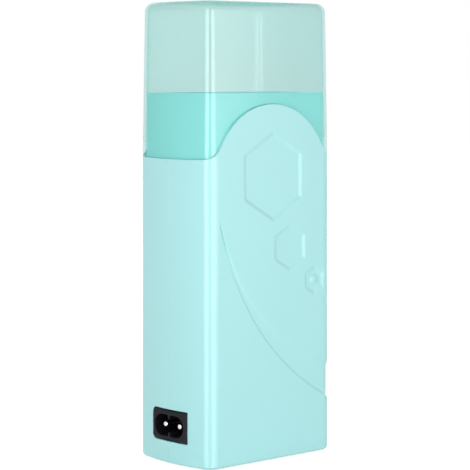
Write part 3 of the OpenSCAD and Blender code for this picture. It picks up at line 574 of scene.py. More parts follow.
def casing_half(name, rear):
    flat, faces = outer_chart(rear).triangles()
    s, z = np.clip(flat[:, 0], 0, LENGTH), flat[:, 1]
    normals = skin_normals(s, z, rear)
    sheet = Sheet()
    outer = sheet.add(behind(s, z, inset(s, z, rear)))
    for f in faces:
        sheet.face([outer[i] for i in f], [normals[i] for i in f])

    rims = boundary(faces)
    ends = sorted({i for e in rims for i in e}, key=lambda i: s[i])
    top = [i for i in ends if abs(z[i] - rim_z(s[i:i + 1])[0]) < TOUCHING]
    low = [i for i in ends if abs(z[i] - BODY_Z) < TOUCHING]
    hole_edges = [e for e in rims
                  if all(abs(holes(s[i:i + 1], z[i:i + 1], rear)[0]) < 0.01 for i in e)]

    ts = s[top]
    side = outward(ts)
    up = np.tile([0.0, 0.0, 1.0], (len(ts), 1))
    tilt = slope(rim_z, ts)
    ledge_up = np.stack([side[:, 1] * tilt, -side[:, 0] * tilt, np.ones(len(ts))], 1)
    ledge_up /= np.linalg.norm(ledge_up, axis=1)[:, None]

    def turned(angle, upward):
        a = math.radians(angle)
        return side * math.cos(a) + upward * math.sin(a)

    # the ledge in the casing's colour, then the neck's hollow foot, side and top in the neck's
    # material: the casing's plastic with its colour painted lighter in green and blue and less
    # red, to make up for the light that the clear cap holds back
    rows = [([outer[i] for i in top], ledge_up)]
    for angle in (90, 60, 30, 0):
        a = math.radians(angle)
        points = behind(ts, z[top] + COVE_R - COVE_R * math.sin(a),
                        NECK_INSET - COVE_R + COVE_R * math.cos(a))
        rows.append((sheet.add(points), turned(angle, ledge_up)))
    for angle in (0, 22, 45, 68, 90):
        a = math.radians(angle)
        points = behind(ts, NECK_RIM_Z - NECK_EDGE_R * (1 - math.sin(a)),
                        NECK_INSET + NECK_EDGE_R * (1 - math.cos(a)))
        rows.append((sheet.add(points), turned(angle, up)))
    sheet.strips(rows[:2])
    sheet.kind = 1
    sheet.strips(rows[1:])

    # inside of the neck, down to the inner shoulder
    inner_z = SHOULDER_Z - WALL
    mouth = sheet.add(behind(ts, NECK_RIM_Z, NECK_INSET + NECK_WALL))
    throat = sheet.add(behind(ts, inner_z, NECK_INSET + NECK_WALL))
    corner = sheet.add(behind(ts, inner_z, WALL))
    sheet.strip(rows[-1][0], mouth, up, up)
    sheet.strip(mouth, throat, -side, -side)
    sheet.strip(throat, corner, -up, -up)
    sheet.kind = 0

    # inner skin: the same outline and openings, one wall further in
    ls = s[low]
    chart = Chart()
    skin_areas(chart, ls, ts, np.full(len(ts), inner_z), rear)
    stops = outline_stops()
    uprights(chart, stops, np.full(len(stops), inner_z))
    flat_in, faces_in = chart.triangles()
    s_in, z_in = np.clip(flat_in[:, 0], 0, LENGTH), flat_in[:, 1]
    inner = sheet.add(behind(s_in, z_in, WALL))
    inward = -outward(s_in)
    for f in faces_in:
        sheet.face([inner[i] for i in f[::-1]], [inward[i] for i in f[::-1]])

    # the foot, and the openings' walls between both skins
    down = np.tile([0.0, 0.0, -1.0], (len(ls), 1))
    sheet.strip(sheet.add(behind(ls, BODY_Z, WALL)), [outer[i] for i in low], down, down)

    def partner(i):
        return inner[int(np.argmin(np.hypot(s_in - s[i], z_in - z[i])))]

    for i, j in hole_edges:
        along = np.array([s[j] - s[i], z[j] - z[i]])
        along /= np.linalg.norm(along)
        nx, ny, _ = outward(s[i:i + 1])[0]
        wall = np.array([-ny * along[1], nx * along[1], -along[0]])
        sheet.face((outer[j], outer[i], partner(i), partner(j)), [wall] * 4)

    sheet.welded()
    sheet.close((0.0, 1.0, 0.0))
    return sheet.mesh(name, mirror=rear)


# ---- turned and extruded pieces with rounded edges ----

class Place:
    """Where a piece's own u, v, w directions point in the frame."""

    def __init__(self, origin, u, v, w, bow=0.0):
        self.origin, self.axes = np.array(origin, float), np.array([u, v, w], float)
        self.bow = bow

    def directions(self, uv, w):
        return np.column_stack([uv, np.zeros(len(uv)) + w]) @ self.axes

    def points(self, uv, w):
        return self.origin + self.directions(uv, w - self.bow * uv[:, 0] ** 2 / 2)


def to_inlet(y, z):
    """Looking out of the narrow side that holds the inlet: w = 35 is its middle's skin."""
    return Place((0, y, z), (0, -1, 0), (0, 0, 1), (-1, 0, 0))


def to_button(z, bow=0.0):
    """Looking out of the other narrow side, where w = 35 is the skin again."""
    return Place((0, 0, z), (0, 1, 0), (0, 0, 1), (1, 0, 0), bow)


def circle(r, count):
    def loop(grow=0.0):
        a = np.linspace(0, 2 * math.pi, count, endpoint=False)
        n = np.stack([np.cos(a), np.sin(a)], 1)
        return n * (r + grow), n
    return loop


def rounded(w, h, radii, count=10):
    """A rectangle: one corner radius, or four from the upper right one, anticlockwise."""
    if np.isscalar(radii):
        radii = (radii,) * 4

    def loop(grow=0.0):
        points, normals = [], []
        for i, (su, sv) in enumerate(((1, 1), (-1, 1), (-1, -1), (1, -1))):
            r = max(radii[i] + grow, SHARP_R)
            a = np.radians(np.linspace(90 * i, 90 * i + 90, count + 1))
            n = np.stack([np.cos(a), np.sin(a)], 1)
            c = np.array([su * (w / 2 + grow - r), sv * (h / 2 + grow - r)])
            points.append(c + n * r)
            normals.append(n)
        return np.concatenate(points), np.concatenate(normals)
    return loop


def socket_shape(grow=0.0):
    """Two lobes with flat tops, parted above and below by a blunt tooth."""
    r, shoulder, tip = SOCKET_R + grow, TOOTH_SHOULDER + grow, TOOTH_TIP_R - grow
    lean = math.radians(TOOTH_LEAN)
    high, tip_v = SOCKET_R - TOOTH_SHOULDER, TOOTH_TIP + TOOTH_TIP_R
    across = ((high - tip_v) * math.sin(lean) + TOOTH_SHOULDER + TOOTH_TIP_R) / math.cos(lean)
    # centre, signed radius and angles of each arc over the upper half
    arcs = ((PIN_PITCH / 2, 0.0, r, 0, 90, 30), (across, high, shoulder, 90, 180 - TOOTH_LEAN, 6),
            (0.0, tip_v, -tip, 180 - TOOTH_LEAN, TOOTH_LEAN, 8),
            (-across, high, shoulder, TOOTH_LEAN, 90, 6), (-PIN_PITCH / 2, 0.0, r, 90, 180, 30))
    points, normals = [], []
    for turn in (1, -1):
        for cu, cv, radius, start, end, count in arcs:
            a = np.radians(np.linspace(start, end, count + 1))[:-1 if end == 180 else None]
            n = np.stack([np.cos(a), np.sin(a)], 1)
            points.append(turn * (np.array([cu, cv]) + n * radius))
            normals.append(turn * n)
    return np.concatenate(points), np.concatenate(normals)


def skin_loop():
    """The casing's whole outline, anticlockwise, as a loop that grows and shrinks."""
    x, y, nx, ny = skin(outline_stops())
    x, y = np.concatenate([x, x[::-1][1:-1]]), np.concatenate([y, -y[::-1][1:-1]])
    nx, ny = np.concatenate([nx, nx[::-1][1:-1]]), np.concatenate([ny, -ny[::-1][1:-1]])

    def loop(grow=0.0):
        return np.stack([x + grow * nx, y + grow * ny], 1), np.stack([nx, ny], 1)
    return loop


def loft(sheet, place, loop, rows):
    """Rows of (grow, w, angle): 0 degrees faces out of the loop, 90 along +w."""
    made = []
    for grow, w, angle in rows:
        p, n = loop(grow)
        a = math.radians(angle)
        made.append((sheet.add(place.points(p, w)),
                     place.directions(n * math.cos(a), math.sin(a))))
    sheet.strips(made, closed=True)
    return made[0][0], made[-1][0]


def bend(r, grow, w, start, end, steps=4):
    """Rows round an edge, whose angle turns from start to end at radius r."""
    return [(grow + r * math.cos(math.radians(a)), w + r * math.sin(math.radians(a)), a)
            for a in np.linspace(start, end, steps + 1)]


def flange(reach, back, front):
    """Rows of a flange behind the casing's wall: its rim, its front and the corner there."""
    return [(reach, back, 0), (reach, front, 0), (reach, front, 90), (0.0, front, 90),
            (0.0, front, 0)]


def cap_mesh():
    sheet = Sheet()
    outline, out = skin_loop()()
    count = len(outline)
    side = np.column_stack([out, np.zeros(count)])
    up = np.tile([0.0, 0.0, 1.0], (count, 1))
    round_z = CAP_TOP_Z - CAP_ROUND

    # the lower edge follows the shoulder and the arch: its height, and how it slopes
    base = arch(outline[:, 0], CAP_GAP)
    ahead = np.roll(outline, -1, 0) - np.roll(outline, 1, 0)
    run = np.linalg.norm(ahead, axis=1)
    tilt = (np.roll(base, -1) - np.roll(base, 1)) / run
    stretch = np.sqrt(1 + tilt ** 2)
    below = np.column_stack([ahead / run[:, None] * tilt[:, None], -np.ones(count)])
    below /= stretch[:, None]
    wall_z = base + CAP_EDGE_R * stretch

    # each row has its depth behind the outline; facing is 1 outside and -1 inside
    def row(depth, z, angle, facing, upward=up):
        a = math.radians(angle)
        xy = outline - np.reshape(depth, (-1, 1)) * out
        ids = sheet.add(np.column_stack([xy, np.zeros(count) + z]))
        return ids, facing * (side * math.cos(a) + upward * math.sin(a))

    def draft(z):
        return CAP_DRAFT * (z - SHOULDER_Z) / (round_z - SHOULDER_Z)

    def edge(angle, depth, facing):
        a = math.radians(angle)
        z = base + CAP_EDGE_R * (1 - math.sin(a)) * stretch
        return row(depth + draft(z) + facing * CAP_EDGE_R * (1 - math.cos(a)), z,
                   angle, facing, facing * below)

    def wall(share, depth, facing):
        z = wall_z + (round_z - wall_z) * share
        return row(depth + draft(z), z, 0, facing)

    def top(angle, depth, width, height, facing):
        a = math.radians(angle)
        return row(depth + CAP_DRAFT + width * (1 - math.cos(a)),
                   round_z + height * math.sin(a), angle, facing)

    # outside from the middle of the lower edge, and inside from the ceiling back to it
    outside = [edge(a, 0, 1) for a in np.linspace(90, 0, 6)]
    outside += [wall(t, 0, 1) for t in np.linspace(0, 1, 15)[1:]]
    outside += [top(a, 0, CAP_ROUND, CAP_ROUND, 1) for a in np.linspace(0, 90, 13)[1:]]
    inside = [top(a, CAP_WALL, CAP_ROUND - CAP_WALL, CAP_ROUND - CAP_TOP_WALL, -1)
              for a in np.linspace(90, 0, 9)]
    inside += [wall(t, CAP_WALL, -1) for t in np.linspace(1, 0, 9)[1:]]
    inside += [edge(a, CAP_WALL, -1) for a in np.linspace(0, 90, 6)[1:]]
    sheet.strips(outside, closed=True)
    sheet.fill([outside[-1][0]], (0.0, 0.0, 1.0))
    sheet.fill([inside[0][0]], (0.0, 0.0, -1.0))
    sheet.strips(inside + outside[:1], closed=True)
    return sheet.mesh("cap_clear")


def ring_mesh():
    sheet = Sheet()
    place = Place((0, 0, 0), (1, 0, 0), (0, 1, 0), (0, 0, 1))
    edge_r = 0.15            # of the outer upper edge
    outer = -NECK_INSET - 0.02
    inner = -NECK_INSET - NECK_WALL - FIT
    foot = outer - NECK_EDGE_R
    rows = [(inner, FLANGE_Z, 0), (inner, NECK_RIM_Z, 0), (inner, NECK_RIM_Z, -90),
            (foot, NECK_RIM_Z, -90)]
    rows += bend(NECK_EDGE_R, foot, NECK_RIM_Z + NECK_EDGE_R, -90, 0, 3)
    rows += bend(edge_r, outer - edge_r, NECK_TOP_Z - edge_r, 0, 90, 6)
    bottom, rim = loft(sheet, place, skin_loop(), rows)

    # the mouth, with a shallow step round it
    step_w, step_z, lip_r, step_r = 0.8, NECK_TOP_Z - 0.75, 0.35, 0.25
    rows = bend(lip_r, step_w + lip_r, NECK_TOP_Z - lip_r, 90, 180)
    rows += [(step_w, step_z + 0.2, 180), (step_w, step_z, 180), (step_w, step_z, 90),
             (step_r, step_z, 90)]
    rows += bend(step_r, step_r, step_z - step_r, 90, 180)
    rows += [(0.0, FLANGE_Z, 180)]
    lip, mouth_foot = loft(sheet, place, rounded(MOUTH_W, MOUTH_D, MOUTH_R), rows)
    sheet.fill([rim, lip], (0.0, 0.0, 1.0))
    sheet.fill([bottom, mouth_foot], (0.0, 0.0, -1.0))
    return sheet.mesh("neck_ring_rounded")


def inlet_mesh():
    sheet = Sheet()
    # behind the casing's wall stands a flange, and the face has a bevelled edge
    front, thickness, reach = 31.5, 1.6, 1.4
    bevel, bevel_r, back = 0.75, 0.25, HALF_W - INLET_DEPTH
    low = front - thickness
    rows = [(0.0, back, 0), (0.0, low, 0), (0.0, low, -90), (reach, low, -90)]
    rows += flange(reach, low, front) + [(0.0, HALF_W - bevel, 0)]
    rows += bend(bevel_r, -bevel_r, HALF_W - bevel, 0, 45, 2)
    rows += [(-bevel, HALF_W - 0.12, 45), (-bevel - 0.2, HALF_W, 90)]
    body = rounded(INLET_W, INLET_H, (0.3, INLET_CORNER, INLET_CORNER, 0.3))
    rear, face = loft(sheet, to_inlet(0, INLET_Z), body, rows)
    mouth_r = 0.2
    rows = bend(mouth_r, mouth_r, HALF_W - mouth_r, 90, 180)
    rows += [(0.0, HALF_W - SOCKET_DEPTH, 180)]
    mouth, bottom = loft(sheet, to_inlet(0, PIN_Z), socket_shape, rows)
    sheet.fill([face, mouth], (-1.0, 0.0, 0.0))
    sheet.fill([bottom], (-1.0, 0.0, 0.0))
    sheet.fill([rear], (1.0, 0.0, 0.0))
    return sheet.mesh("inlet_moulding")


def pins_mesh():
    """Two pins with rounded tips, each with a solder tag behind it."""
    sheet = Sheet()
    root, tag_end = HALF_W - INLET_DEPTH, 14.0
    nose_r, tip = 0.75, HALF_W - PIN_SUNK
    for side in (-1, 1):
        y = side * PIN_PITCH / 2
        rows = [(0.0, root, 0), (0.0, tip - nose_r, 0)]
        rows += bend(nose_r, -nose_r, tip - nose_r, 0, 90, 7)
        rear, front = loft(sheet, to_inlet(y, PIN_Z), circle(PIN_R, 40), rows)
        sheet.fill([front], (-1.0, 0.0, 0.0))
        turned = Place((0, y, PIN_Z), (0, 0, 1), (0, 1, 0), (-1, 0, 0))
        end, start = loft(sheet, turned, rounded(1.6, 0.6, 0.2, 4),
                          [(0.0, tag_end, 0), (0.0, root + 0.01, 0)])
        sheet.fill([rear], (1.0, 0.0, 0.0))
        sheet.fill([end], (1.0, 0.0, 0.0))
        sheet.fill([start], (-1.0, 0.0, 0.0))
    return sheet.mesh("inlet_contacts")


def dome_mesh():
    """The pilot light's dome: part of a ball, on a short foot in the smallest hexagon."""
    sheet = Sheet()
    x, z, _ = HEXAGONS[2]
    floor, r = HALF_D - RECESS, LENS_D / 2
    ball = (r * r + RECESS * RECESS) / (2 * RECESS)
    reach = math.degrees(math.asin(r / ball))
    rows = [(0.0, floor - 0.4, 0), (0.0, floor - 0.02, 0), (0.0, floor, 20)]
    rows += bend(ball, -r, HALF_D - ball, 90 - reach, 86, 13)
    to_front = Place((x, 0, z), (1, 0, 0), (0, 0, 1), (0, -1, 0))
    low, top = loft(sheet, to_front, circle(r, 64), rows)
    sheet.fill([top], (0.0, -1.0, 0.0))
    sheet.fill([low], (0.0, 1.0, 0.0))
    return sheet.mesh("pilot_dome")


def window_mesh():
    """A bowed pane in the casing's opening, with a flange behind the wall."""
    sheet = Sheet()
    place = to_button(WINDOW_Z, bow=1 / BOW_R)
    pane = rounded(WINDOW_W, WINDOW_H, WINDOW_W / 2, 24)
    edge_r, reach = 0.35, 1.5
    back, front = HALF_W - WALL - 1.5, HALF_W - WALL - 0.25     # of the flange
    rows = flange(reach, back, front) + bend(edge_r, -edge_r, HALF_W - edge_r, 0, 90, 5)
    rear, face = loft(sheet, place, pane, rows)
    # bowed faces: rows of the slot's own shape, shrinking to a line
    for ids, grow, w, facing in ((face, -edge_r, HALF_W, 1), (rear, reach, back, -1)):
        made = [ids]
        for shrink in np.linspace(0, 0.98, 6)[1:]:
            p = pane(grow - (WINDOW_W / 2 + grow) * shrink)[0]
            made.append(sheet.add(place.points(p, w)))
        rows = []
        for loop in made:
            y = np.array([sheet.points[i][1] for i in loop])
            n = np.stack([np.ones(len(y)), y / BOW_R, 0 * y], 1)
            rows.append((loop, facing * n / np.linalg.norm(n, axis=1)[:, None]))
        for a, b in zip(rows, rows[1:]):
            sheet.strips((a, b)[::facing], closed=True)
        sheet.fill([made[-1]], (float(facing), 0.0, 0.0))
    return sheet.mesh("level_window_pane")


def button_mesh():
    """A round button with a dished face and a raised ring in it."""
    sheet = Sheet()
    back, reach, edge_r = 31.05, 1.2, 0.7     # the flange is as wide as it is thick
    dish, ring_r, ring_w, ring_h = 0.45, 1.9, 0.28, 0.16
    face_r = BUTTON_R - edge_r - 0.1
    rows = flange(reach, back, back + reach)
    rows += bend(edge_r, -edge_r, HALF_W - edge_r, 0, 90, 7)
    for r in np.concatenate([np.linspace(face_r, ring_r + ring_w, 10),
                             np.linspace(ring_r + ring_w, ring_r - ring_w, 9)[1:],
                             np.linspace(ring_r - ring_w, 0.05, 6)[1:]]):
        t = r / face_r
        height = -dish * (1 - t * t) ** 2
        tilt = dish * 4 * t * (1 - t * t) / face_r
        off = (r - ring_r) / ring_w
        if abs(off) < 1:
            height += ring_h * (1 - off * off) ** 2
            tilt -= ring_h * 4 * off * (1 - off * off) / ring_w
        rows.append((r - BUTTON_R, HALF_W + height, 90 + math.degrees(math.atan(tilt))))
    rear, face = loft(sheet, to_button(BUTTON_Z), circle(BUTTON_R, 96), rows)
    sheet.fill([face], (1.0, 0.0, 0.0))
    sheet.fill([rear], (-1.0, 0.0, 0.0))
    return sheet.mesh("power_button_cap")


# ---- materials ----

NOISE_LOW, NOISE_HIGH = 0.3, 0.7     # the part of a noise's range that is used


def computed(tree, operation, *values):
    """The result of a Math node, from other nodes' outputs and from numbers."""
    node = tree.nodes.new("ShaderNodeMath")
    node.operation = operation
    for value, place in zip(values, node.inputs):
        if isinstance(value, float):
            place.default_value = value
        else:
            tree.links.new(value, place)
    return node.outputs[0]


def mixed(tree, share, first, second):
    mix = tree.nodes.new("ShaderNodeMixShader")
    for source, place in zip((share, first, second), mix.inputs):
        tree.links.new(source, place)
    return mix.outputs[0]


class Material:
    """A node material: a shader with colour, roughness and bump from patterns."""

    def __init__(self, name, colour, roughness, **shader):
        self.material = bpy.data.materials.new(name)
        self.material.use_nodes = True
        self.tree = self.material.node_tree
        self.shader = self.tree.nodes["Principled BSDF"]
        self.colour, self.rough = colour, roughness
        self.shader.inputs["Base Color"].default_value = (*colour, 1.0)
        self.shader.inputs["Roughness"].default_value = roughness
        for key, value in shader.items():
            self.shader.inputs[key.replace("_", " ")].default_value = value
        self.place = self.node("TexCoord").outputs["Object"]
        self.material.diffuse_color = (*colour, 1.0)

    def node(self, kind, **inputs):
        node = self.tree.nodes.new("ShaderNode" + kind)
        for key, value in inputs.items():
            node.inputs[key].default_value = value
        return node

    def link(self, a, b):
        self.tree.links.new(a, b)

    def mapped(self, scale):
        """The place in the frame, in metres, stretched by a scale for x, y and z."""
        node = self.node("Mapping", Scale=scale)
        self.link(self.place, node.inputs["Vector"])
        return node.outputs["Vector"]

    def noise(self, scale, detail=3.0, stretch=None):
        node = self.node("TexNoise", Scale=scale, Detail=detail)
        self.link(self.mapped(stretch) if stretch else self.place, node.inputs["Vector"])
        return node.outputs["Fac"]

    def vary_colour(self, value, spread):
        """Lighter and darker patches, by a share of the colour."""
        ramp = self.node("ValToRGB")
        for element, place, k in zip(ramp.color_ramp.elements, (NOISE_LOW, NOISE_HIGH),
                                     (1 - spread, 1 + spread)):
            element.position = place
            element.color = (*(min(c * k, 1.0) for c in self.colour), 1.0)
        self.link(value, ramp.inputs["Fac"])
        self.link(ramp.outputs["Color"], self.shader.inputs["Base Color"])

    def vary_roughness(self, value, spread):
        node = self.node("MapRange", **{"From Min": NOISE_LOW, "From Max": NOISE_HIGH,
                                        "To Min": max(self.rough - spread, 0.0),
                                        "To Max": self.rough + spread})
        self.link(value, node.inputs["Value"])
        self.link(node.outputs["Result"], self.shader.inputs["Roughness"])

    def bump(self, value, height):
        """A relief of a height in millimetres."""
        node = self.node("Bump", Strength=1.0, Distance=height * MM)
        self.link(value, node.inputs["Height"])
        self.link(node.outputs["Normal"], self.shader.inputs["Normal"])

    def turned_away(self, power, least, more):
        """A share that grows as the surface turns away from the eye."""
        facing = self.node("LayerWeight").outputs["Facing"]
        curve = computed(self.tree, "POWER", facing, power)
        return computed(self.tree, "MULTIPLY_ADD", curve, more, least)

    def tinted_clear(self):
        """A thin clear wall: a little of the shader's own colour, and gloss over it."""
        clear = self.node("BsdfTransparent")
        gloss = self.node("BsdfAnisotropic", Roughness=0.12, Color=(1.0, 1.0, 1.0, 1.0))
        wall = mixed(self.tree, self.turned_away(3.0, 0.15, 0.15), clear.outputs[0],
                     self.shader.outputs[0])
        return mixed(self.tree, self.turned_away(5.0, 0.036, 0.06), wall, gloss.outputs[0])

    def pass_light(self, surface):
        """Clear plastic lets light through to what stands behind it."""
        path = self.node("LightPath").outputs
        through = computed(self.tree, "MAXIMUM", path["Is Shadow Ray"], path["Is Diffuse Ray"])
        shown = mixed(self.tree, through, surface, self.node("BsdfTransparent").outputs[0])
        self.link(shown, self.tree.nodes["Material Output"].inputs["Surface"])


def seen(r, g, b):
    """A colour as it is seen, 0 to 255, to the linear one that shaders take."""
    return tuple(c / 12.92 if c <= 0.04045 else ((c + 0.055) / 1.055) ** 2.4
                 for c in (r / 255, g / 255, b / 255))


def patterned(name, colour, roughness, tone, gloss, relief, **shader):
    """A material whose colour, roughness and relief vary, each by (amount, *noise)."""
    m = Material(name, colour, roughness, **shader)
    if tone:
        m.vary_colour(m.noise(*tone[1:]), tone[0])
    m.vary_roughness(m.noise(*gloss[1:]), gloss[0])
    m.bump(m.noise(*relief[1:]), relief[0])
    return m


def glossy(name, r, g, b):
    return patterned(name, seen(r, g, b), 0.3, (0.003, 12.0, 1.0), (0.01, 40.0, 2.0),
                     (0.0008, 1500.0, 2.0), IOR=1.55)


def clear_cap():
    m = patterned("cap_tinted_clear", (0.01, 0.49, 0.43), 0.3, (0.02, 20.0, 1.0),
                  (0.008, 140.0, 4.0), (0.0005, 120.0, 1.0), IOR=1.49, Specular_IOR_Level=0.0)
    tint = m.node("VolumeAbsorption", Color=(0.15, 0.75, 0.72, 1.0), Density=60.0)
    m.link(tint.outputs["Volume"], m.tree.nodes["Material Output"].inputs["Volume"])
    m.pass_light(m.tinted_clear())
    return m


def clear_window():
    m = patterned("window_clear", seen(225, 246, 246), 0.06, None, (0.02, 200.0, 4.0),
                  (0.001, 160.0, 1.0), IOR=1.5, Transmission_Weight=1.0)
    m.pass_light(m.shader.outputs[0])
    return m


def metal(name, colour, roughness, scale, stretch, relief):
    return patterned(name, seen(*colour), roughness, (0.06, 120.0),
                     (roughness * 0.35, scale, 4.0, stretch), (relief, scale, 3.0, stretch),
                     Metallic=1.0)


def moulded(name, colour, roughness, relief=0.015, scale=1500.0):
    return patterned(name, seen(*colour), roughness, (0.06, 250.0), (0.06, scale * 0.6, 4.0),
                     (relief, scale), IOR=1.5)


def laminate():
    """A circuit board's solder mask, with the glass cloth's weave showing faintly."""
    m = Material("board_green", seen(44, 104, 66), 0.35, IOR=1.5)
    weave = m.node("TexBrick")
    m.link(m.mapped((900.0, 900.0, 900.0)), weave.inputs["Vector"])
    m.vary_colour(m.noise(700.0), 0.18)
    m.vary_roughness(m.noise(900.0), 0.08)
    m.bump(weave.outputs["Fac"], 0.006)
    return m


ALONG_X, ALONG_Z = (0.2, 1.0, 1.0), (1.0, 1.0, 0.2)     # how brushed metal is drawn out

MATERIALS = {
    "casing_plastic": glossy("casing_aqua", 171, 227, 228),
    "cap_plastic": clear_cap(),
    "window_plastic": clear_window(),
    "button_plastic": patterned("button_white", seen(226, 240, 240), 0.22, (0.012, 120.0),
                                (0.05, 300.0, 4.0), (0.006, 700.0, 2.0), IOR=1.5),
    "inlet_plastic": patterned("inlet_black", seen(17, 18, 23), 0.5, (0.06, 300.0),
                               (0.06, 900.0, 4.0), (0.02, 2600.0), IOR=1.27),
    "foot_rubber": patterned("foot_rubber", seen(38, 38, 40), 0.85, (0.15, 600.0),
                             (0.08, 1500.0, 4.0), (0.04, 2500.0, 4.0), IOR=1.5),
    "cup_aluminium": patterned("cup_drawn_aluminium", seen(206, 208, 210), 0.32, (0.03, 30.0),
                               (0.08, 400.0, 4.0, (4.0, 4.0, 0.2)),
                               (0.01, 500.0, 3.0, (4.0, 4.0, 0.15)), Metallic=1.0),
    "screw_steel": metal("screw_zinc", (176, 178, 182), 0.35, 900.0, (1.0, 1.0, 1.0), 0.01),
    "contact_metal": metal("contact_nickel", (226, 226, 228), 0.16, 700.0, ALONG_X, 0.004),
    "spring_steel": metal("spring_steel", (150, 152, 156), 0.3, 800.0, ALONG_X, 0.006),
    "heater_ceramic": moulded("heater_ceramic", (70, 70, 74), 0.75, 0.03, 2500.0),
    "electrode_brass": metal("electrode_brass", (204, 172, 100), 0.3, 800.0, ALONG_Z, 0.006),
    "polyimide_film": moulded("polyimide_film", (206, 120, 36), 0.25, 0.01, 500.0),
    "component_black": moulded("component_black", (36, 36, 38), 0.5),
    "fuse_ceramic": moulded("fuse_ceramic", (214, 204, 182), 0.6, 0.02, 2200.0),
    "board_laminate": laminate(),
    "capacitor_case": moulded("capacitor_yellow", (206, 180, 60), 0.3),
    "resistor_body": moulded("resistor_beige", (196, 170, 132), 0.4),
    "switch_white": moulded("switch_white", (228, 228, 226), 0.4),
}
for name, colour in (("wire_red", (176, 34, 28)), ("wire_brown", (104, 62, 36)),
                     ("wire_blue", (38, 84, 168)), ("wire_grey", (120, 120, 122))):
    MATERIALS[name] = moulded(name, colour, 0.5, 0.01)
CASING = MATERIALS["casing_plastic"]
# The casing's plastic again, for the neck and the mouth ring: painted light, lighter in green and
# blue and less red, to make up for the light that the clear cap holds back from them
NECK_LIT = glossy("neck_aqua_painted_lighter", 159, 236, 234)

for node in NODES.values():
    for k, old in enumerate(node.data.materials):
        node.material_slots[k].material = MATERIALS[old.name.split(".")[0]].material

# ---- pieces ----

def piece(name, mesh, body, slot, replaced, materials=None):
    """One piece, on its body, in place of the CAD node that it replaces."""
    obj = bpy.data.objects.new(name, mesh)
    bpy.context.scene.collection.objects.link(obj)
    for m in materials or [MATERIALS[slot]]:
        mesh.materials.append(m.material)
    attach(obj, body)
    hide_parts(replaced)


# Each casing half has two materials: the casing's plastic, and for its neck the copy that is
# painted lighter; the mouth ring gets that painted copy too
for name, node, rear in (("front_casing", "front_shell", False),
                         ("rear_casing", "rear_shell", True)):
    piece(name, casing_half(name, rear), "casing", "casing_plastic", node, [CASING, NECK_LIT])
piece("clear_cap", cap_mesh(), "cap", "cap_plastic", "cap")
piece("mouth_ring", ring_mesh(), "casing", "casing_plastic", "neck_ring", [NECK_LIT])
piece("inlet_moulding", inlet_mesh(), "casing", "inlet_plastic", "inlet_housing")
piece("inlet_contacts", pins_mesh(), "casing", "contact_metal", "inlet_pins")
piece("pilot_dome", dome_mesh(), "casing", "casing_plastic", "pilot_lens")
piece("window_pane", window_mesh(), "casing", "window_plastic", "level_window")
piece("button_cap", button_mesh(), "button", "button_plastic", "power_button")

# ---- floor, light and camera ----

def whitened(tree, surface, shown):
    """A surface that is another one where the camera, a reflection or glass sees it."""
    path = tree.nodes.new("ShaderNodeLightPath").outputs
    share = computed(tree, "MAXIMUM", path["Is Camera Ray"], path["Is Glossy Ray"])
    share = computed(tree, "MAXIMUM", share, path["Is Transmission Ray"])
    return mixed(tree, share, surface, shown)


world = bpy.data.worlds.new("studio")
world.use_nodes = True
bpy.context.scene.world = world
tree = world.node_tree
light = tree.nodes["Background"]
light.inputs["Color"].default_value = (1.0, 1.0, 1.0, 1.0)
light.inputs["Strength"].default_value = 0.355
white = tree.nodes.new("ShaderNodeBackground")
white.inputs["Color"].default_value = (1.0, 1.0, 1.0, 1.0)
tree.links.new(whitened(tree, light.outputs[0], white.outputs[0]),
               tree.nodes["World Output"].inputs["Surface"])


def floor():
    """A matt white floor that keeps the object's shadow and is white where it is seen."""
    half = 2.5
    mesh = bpy.data.meshes.new("floor")
    mesh.from_pydata([(-half, -half, 0), (half, -half, 0), (half, half, 0), (-half, half, 0)],
                     [], [(0, 1, 2, 3)])
    obj = bpy.data.objects.new("floor", mesh)
    bpy.context.scene.collection.objects.link(obj)
    m = Material("floor_white", (0.9, 0.9, 0.9), 0.9, Specular_IOR_Level=0.0)
    grain = m.node("TexNoise", Scale=30.0)
    ramp = m.node("ValToRGB")
    for element, level in zip(ramp.color_ramp.elements, (0.89, 0.91)):
        element.color = (level, level, level, 1.0)
    m.link(grain.outputs["Fac"], ramp.inputs["Fac"])
    m.link(ramp.outputs["Color"], m.shader.inputs["Base Color"])
    add = m.node("AddShader")
    m.link(m.shader.outputs[0], add.inputs[0])
    m.link(m.node("Emission", Strength=0.73).outputs[0], add.inputs[1])
    m.link(whitened(m.tree, m.shader.outputs[0], add.outputs[0]),
           m.tree.nodes["Material Output"].inputs["Surface"])
    mesh.materials.append(m.material)
    obj.visible_glossy = False


floor()


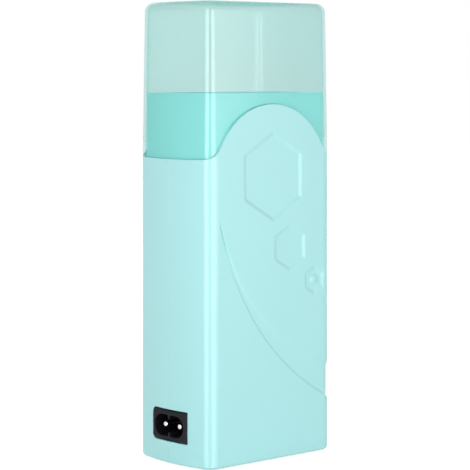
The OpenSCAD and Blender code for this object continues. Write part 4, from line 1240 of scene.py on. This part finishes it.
def lamp(name, place, target_z, size, power):
    data = bpy.data.lights.new(name, "AREA")
    data.shape = "RECTANGLE"
    data.size, data.size_y = size
    data.energy = power
    obj = bpy.data.objects.new(name, data)
    bpy.context.scene.collection.objects.link(obj)
    obj.location = place
    aim = Vector((0, 0, target_z)) - Vector(place)
    obj.rotation_euler = aim.to_track_quat("-Z", "Y").to_euler()
    obj.visible_camera = False
    obj.visible_transmission = False
    return obj


lamp("left", (-0.481, -0.138, 0.02), 0.02, (0.3, 0.44), 1.6)
lamp("right", (-0.138, -0.481, 0.02), 0.02, (0.3, 0.44), 1.6)
lamp("fill_left", (-0.69, 0.58, 0.15), 0.06, (0.7, 0.5), 1.15).visible_glossy = False
lamp("fill_right", (0.322, -0.84, 0.05), 0.05, (0.65, 0.55), 1.9)
lamp("behind", (0.64, 0.64, 0.3), 0.06, (1.1, 0.8), 4.8)

# the camera: its angles in radians, places in millimetres, and lens and shift in pixels
YAW = 0.7288
PITCH = 0.0079
DISTANCE = 752.063
CAMERA_Z = 153.75
ASIDE = 0.2926
FOCAL_PX = 1875.245
SHIFT_PX = -150.215
PICTURE_PX = 470
SENSOR = 36.0

back = Vector((-math.sin(YAW), -math.cos(YAW), 0.0))
right = Vector((math.cos(YAW), -math.sin(YAW), 0.0))
camera_data = bpy.data.cameras.new("camera")
camera_data.sensor_fit = "HORIZONTAL"
camera_data.sensor_width = SENSOR
camera_data.lens = FOCAL_PX / PICTURE_PX * SENSOR
camera_data.shift_y = SHIFT_PX / PICTURE_PX
camera_data.clip_start = 0.05
camera_data.clip_end = 20.0
camera = bpy.data.objects.new("camera", camera_data)
bpy.context.scene.collection.objects.link(camera)
camera.location = (back * DISTANCE - right * ASIDE + Vector((0, 0, CAMERA_Z))) * MM
aim = -back * math.cos(PITCH) - Vector((0, 0, math.sin(PITCH)))
camera.rotation_euler = aim.to_track_quat("-Z", "Y").to_euler()
bpy.context.scene.camera = camera

bpy.context.scene.view_settings.view_transform = "Standard"
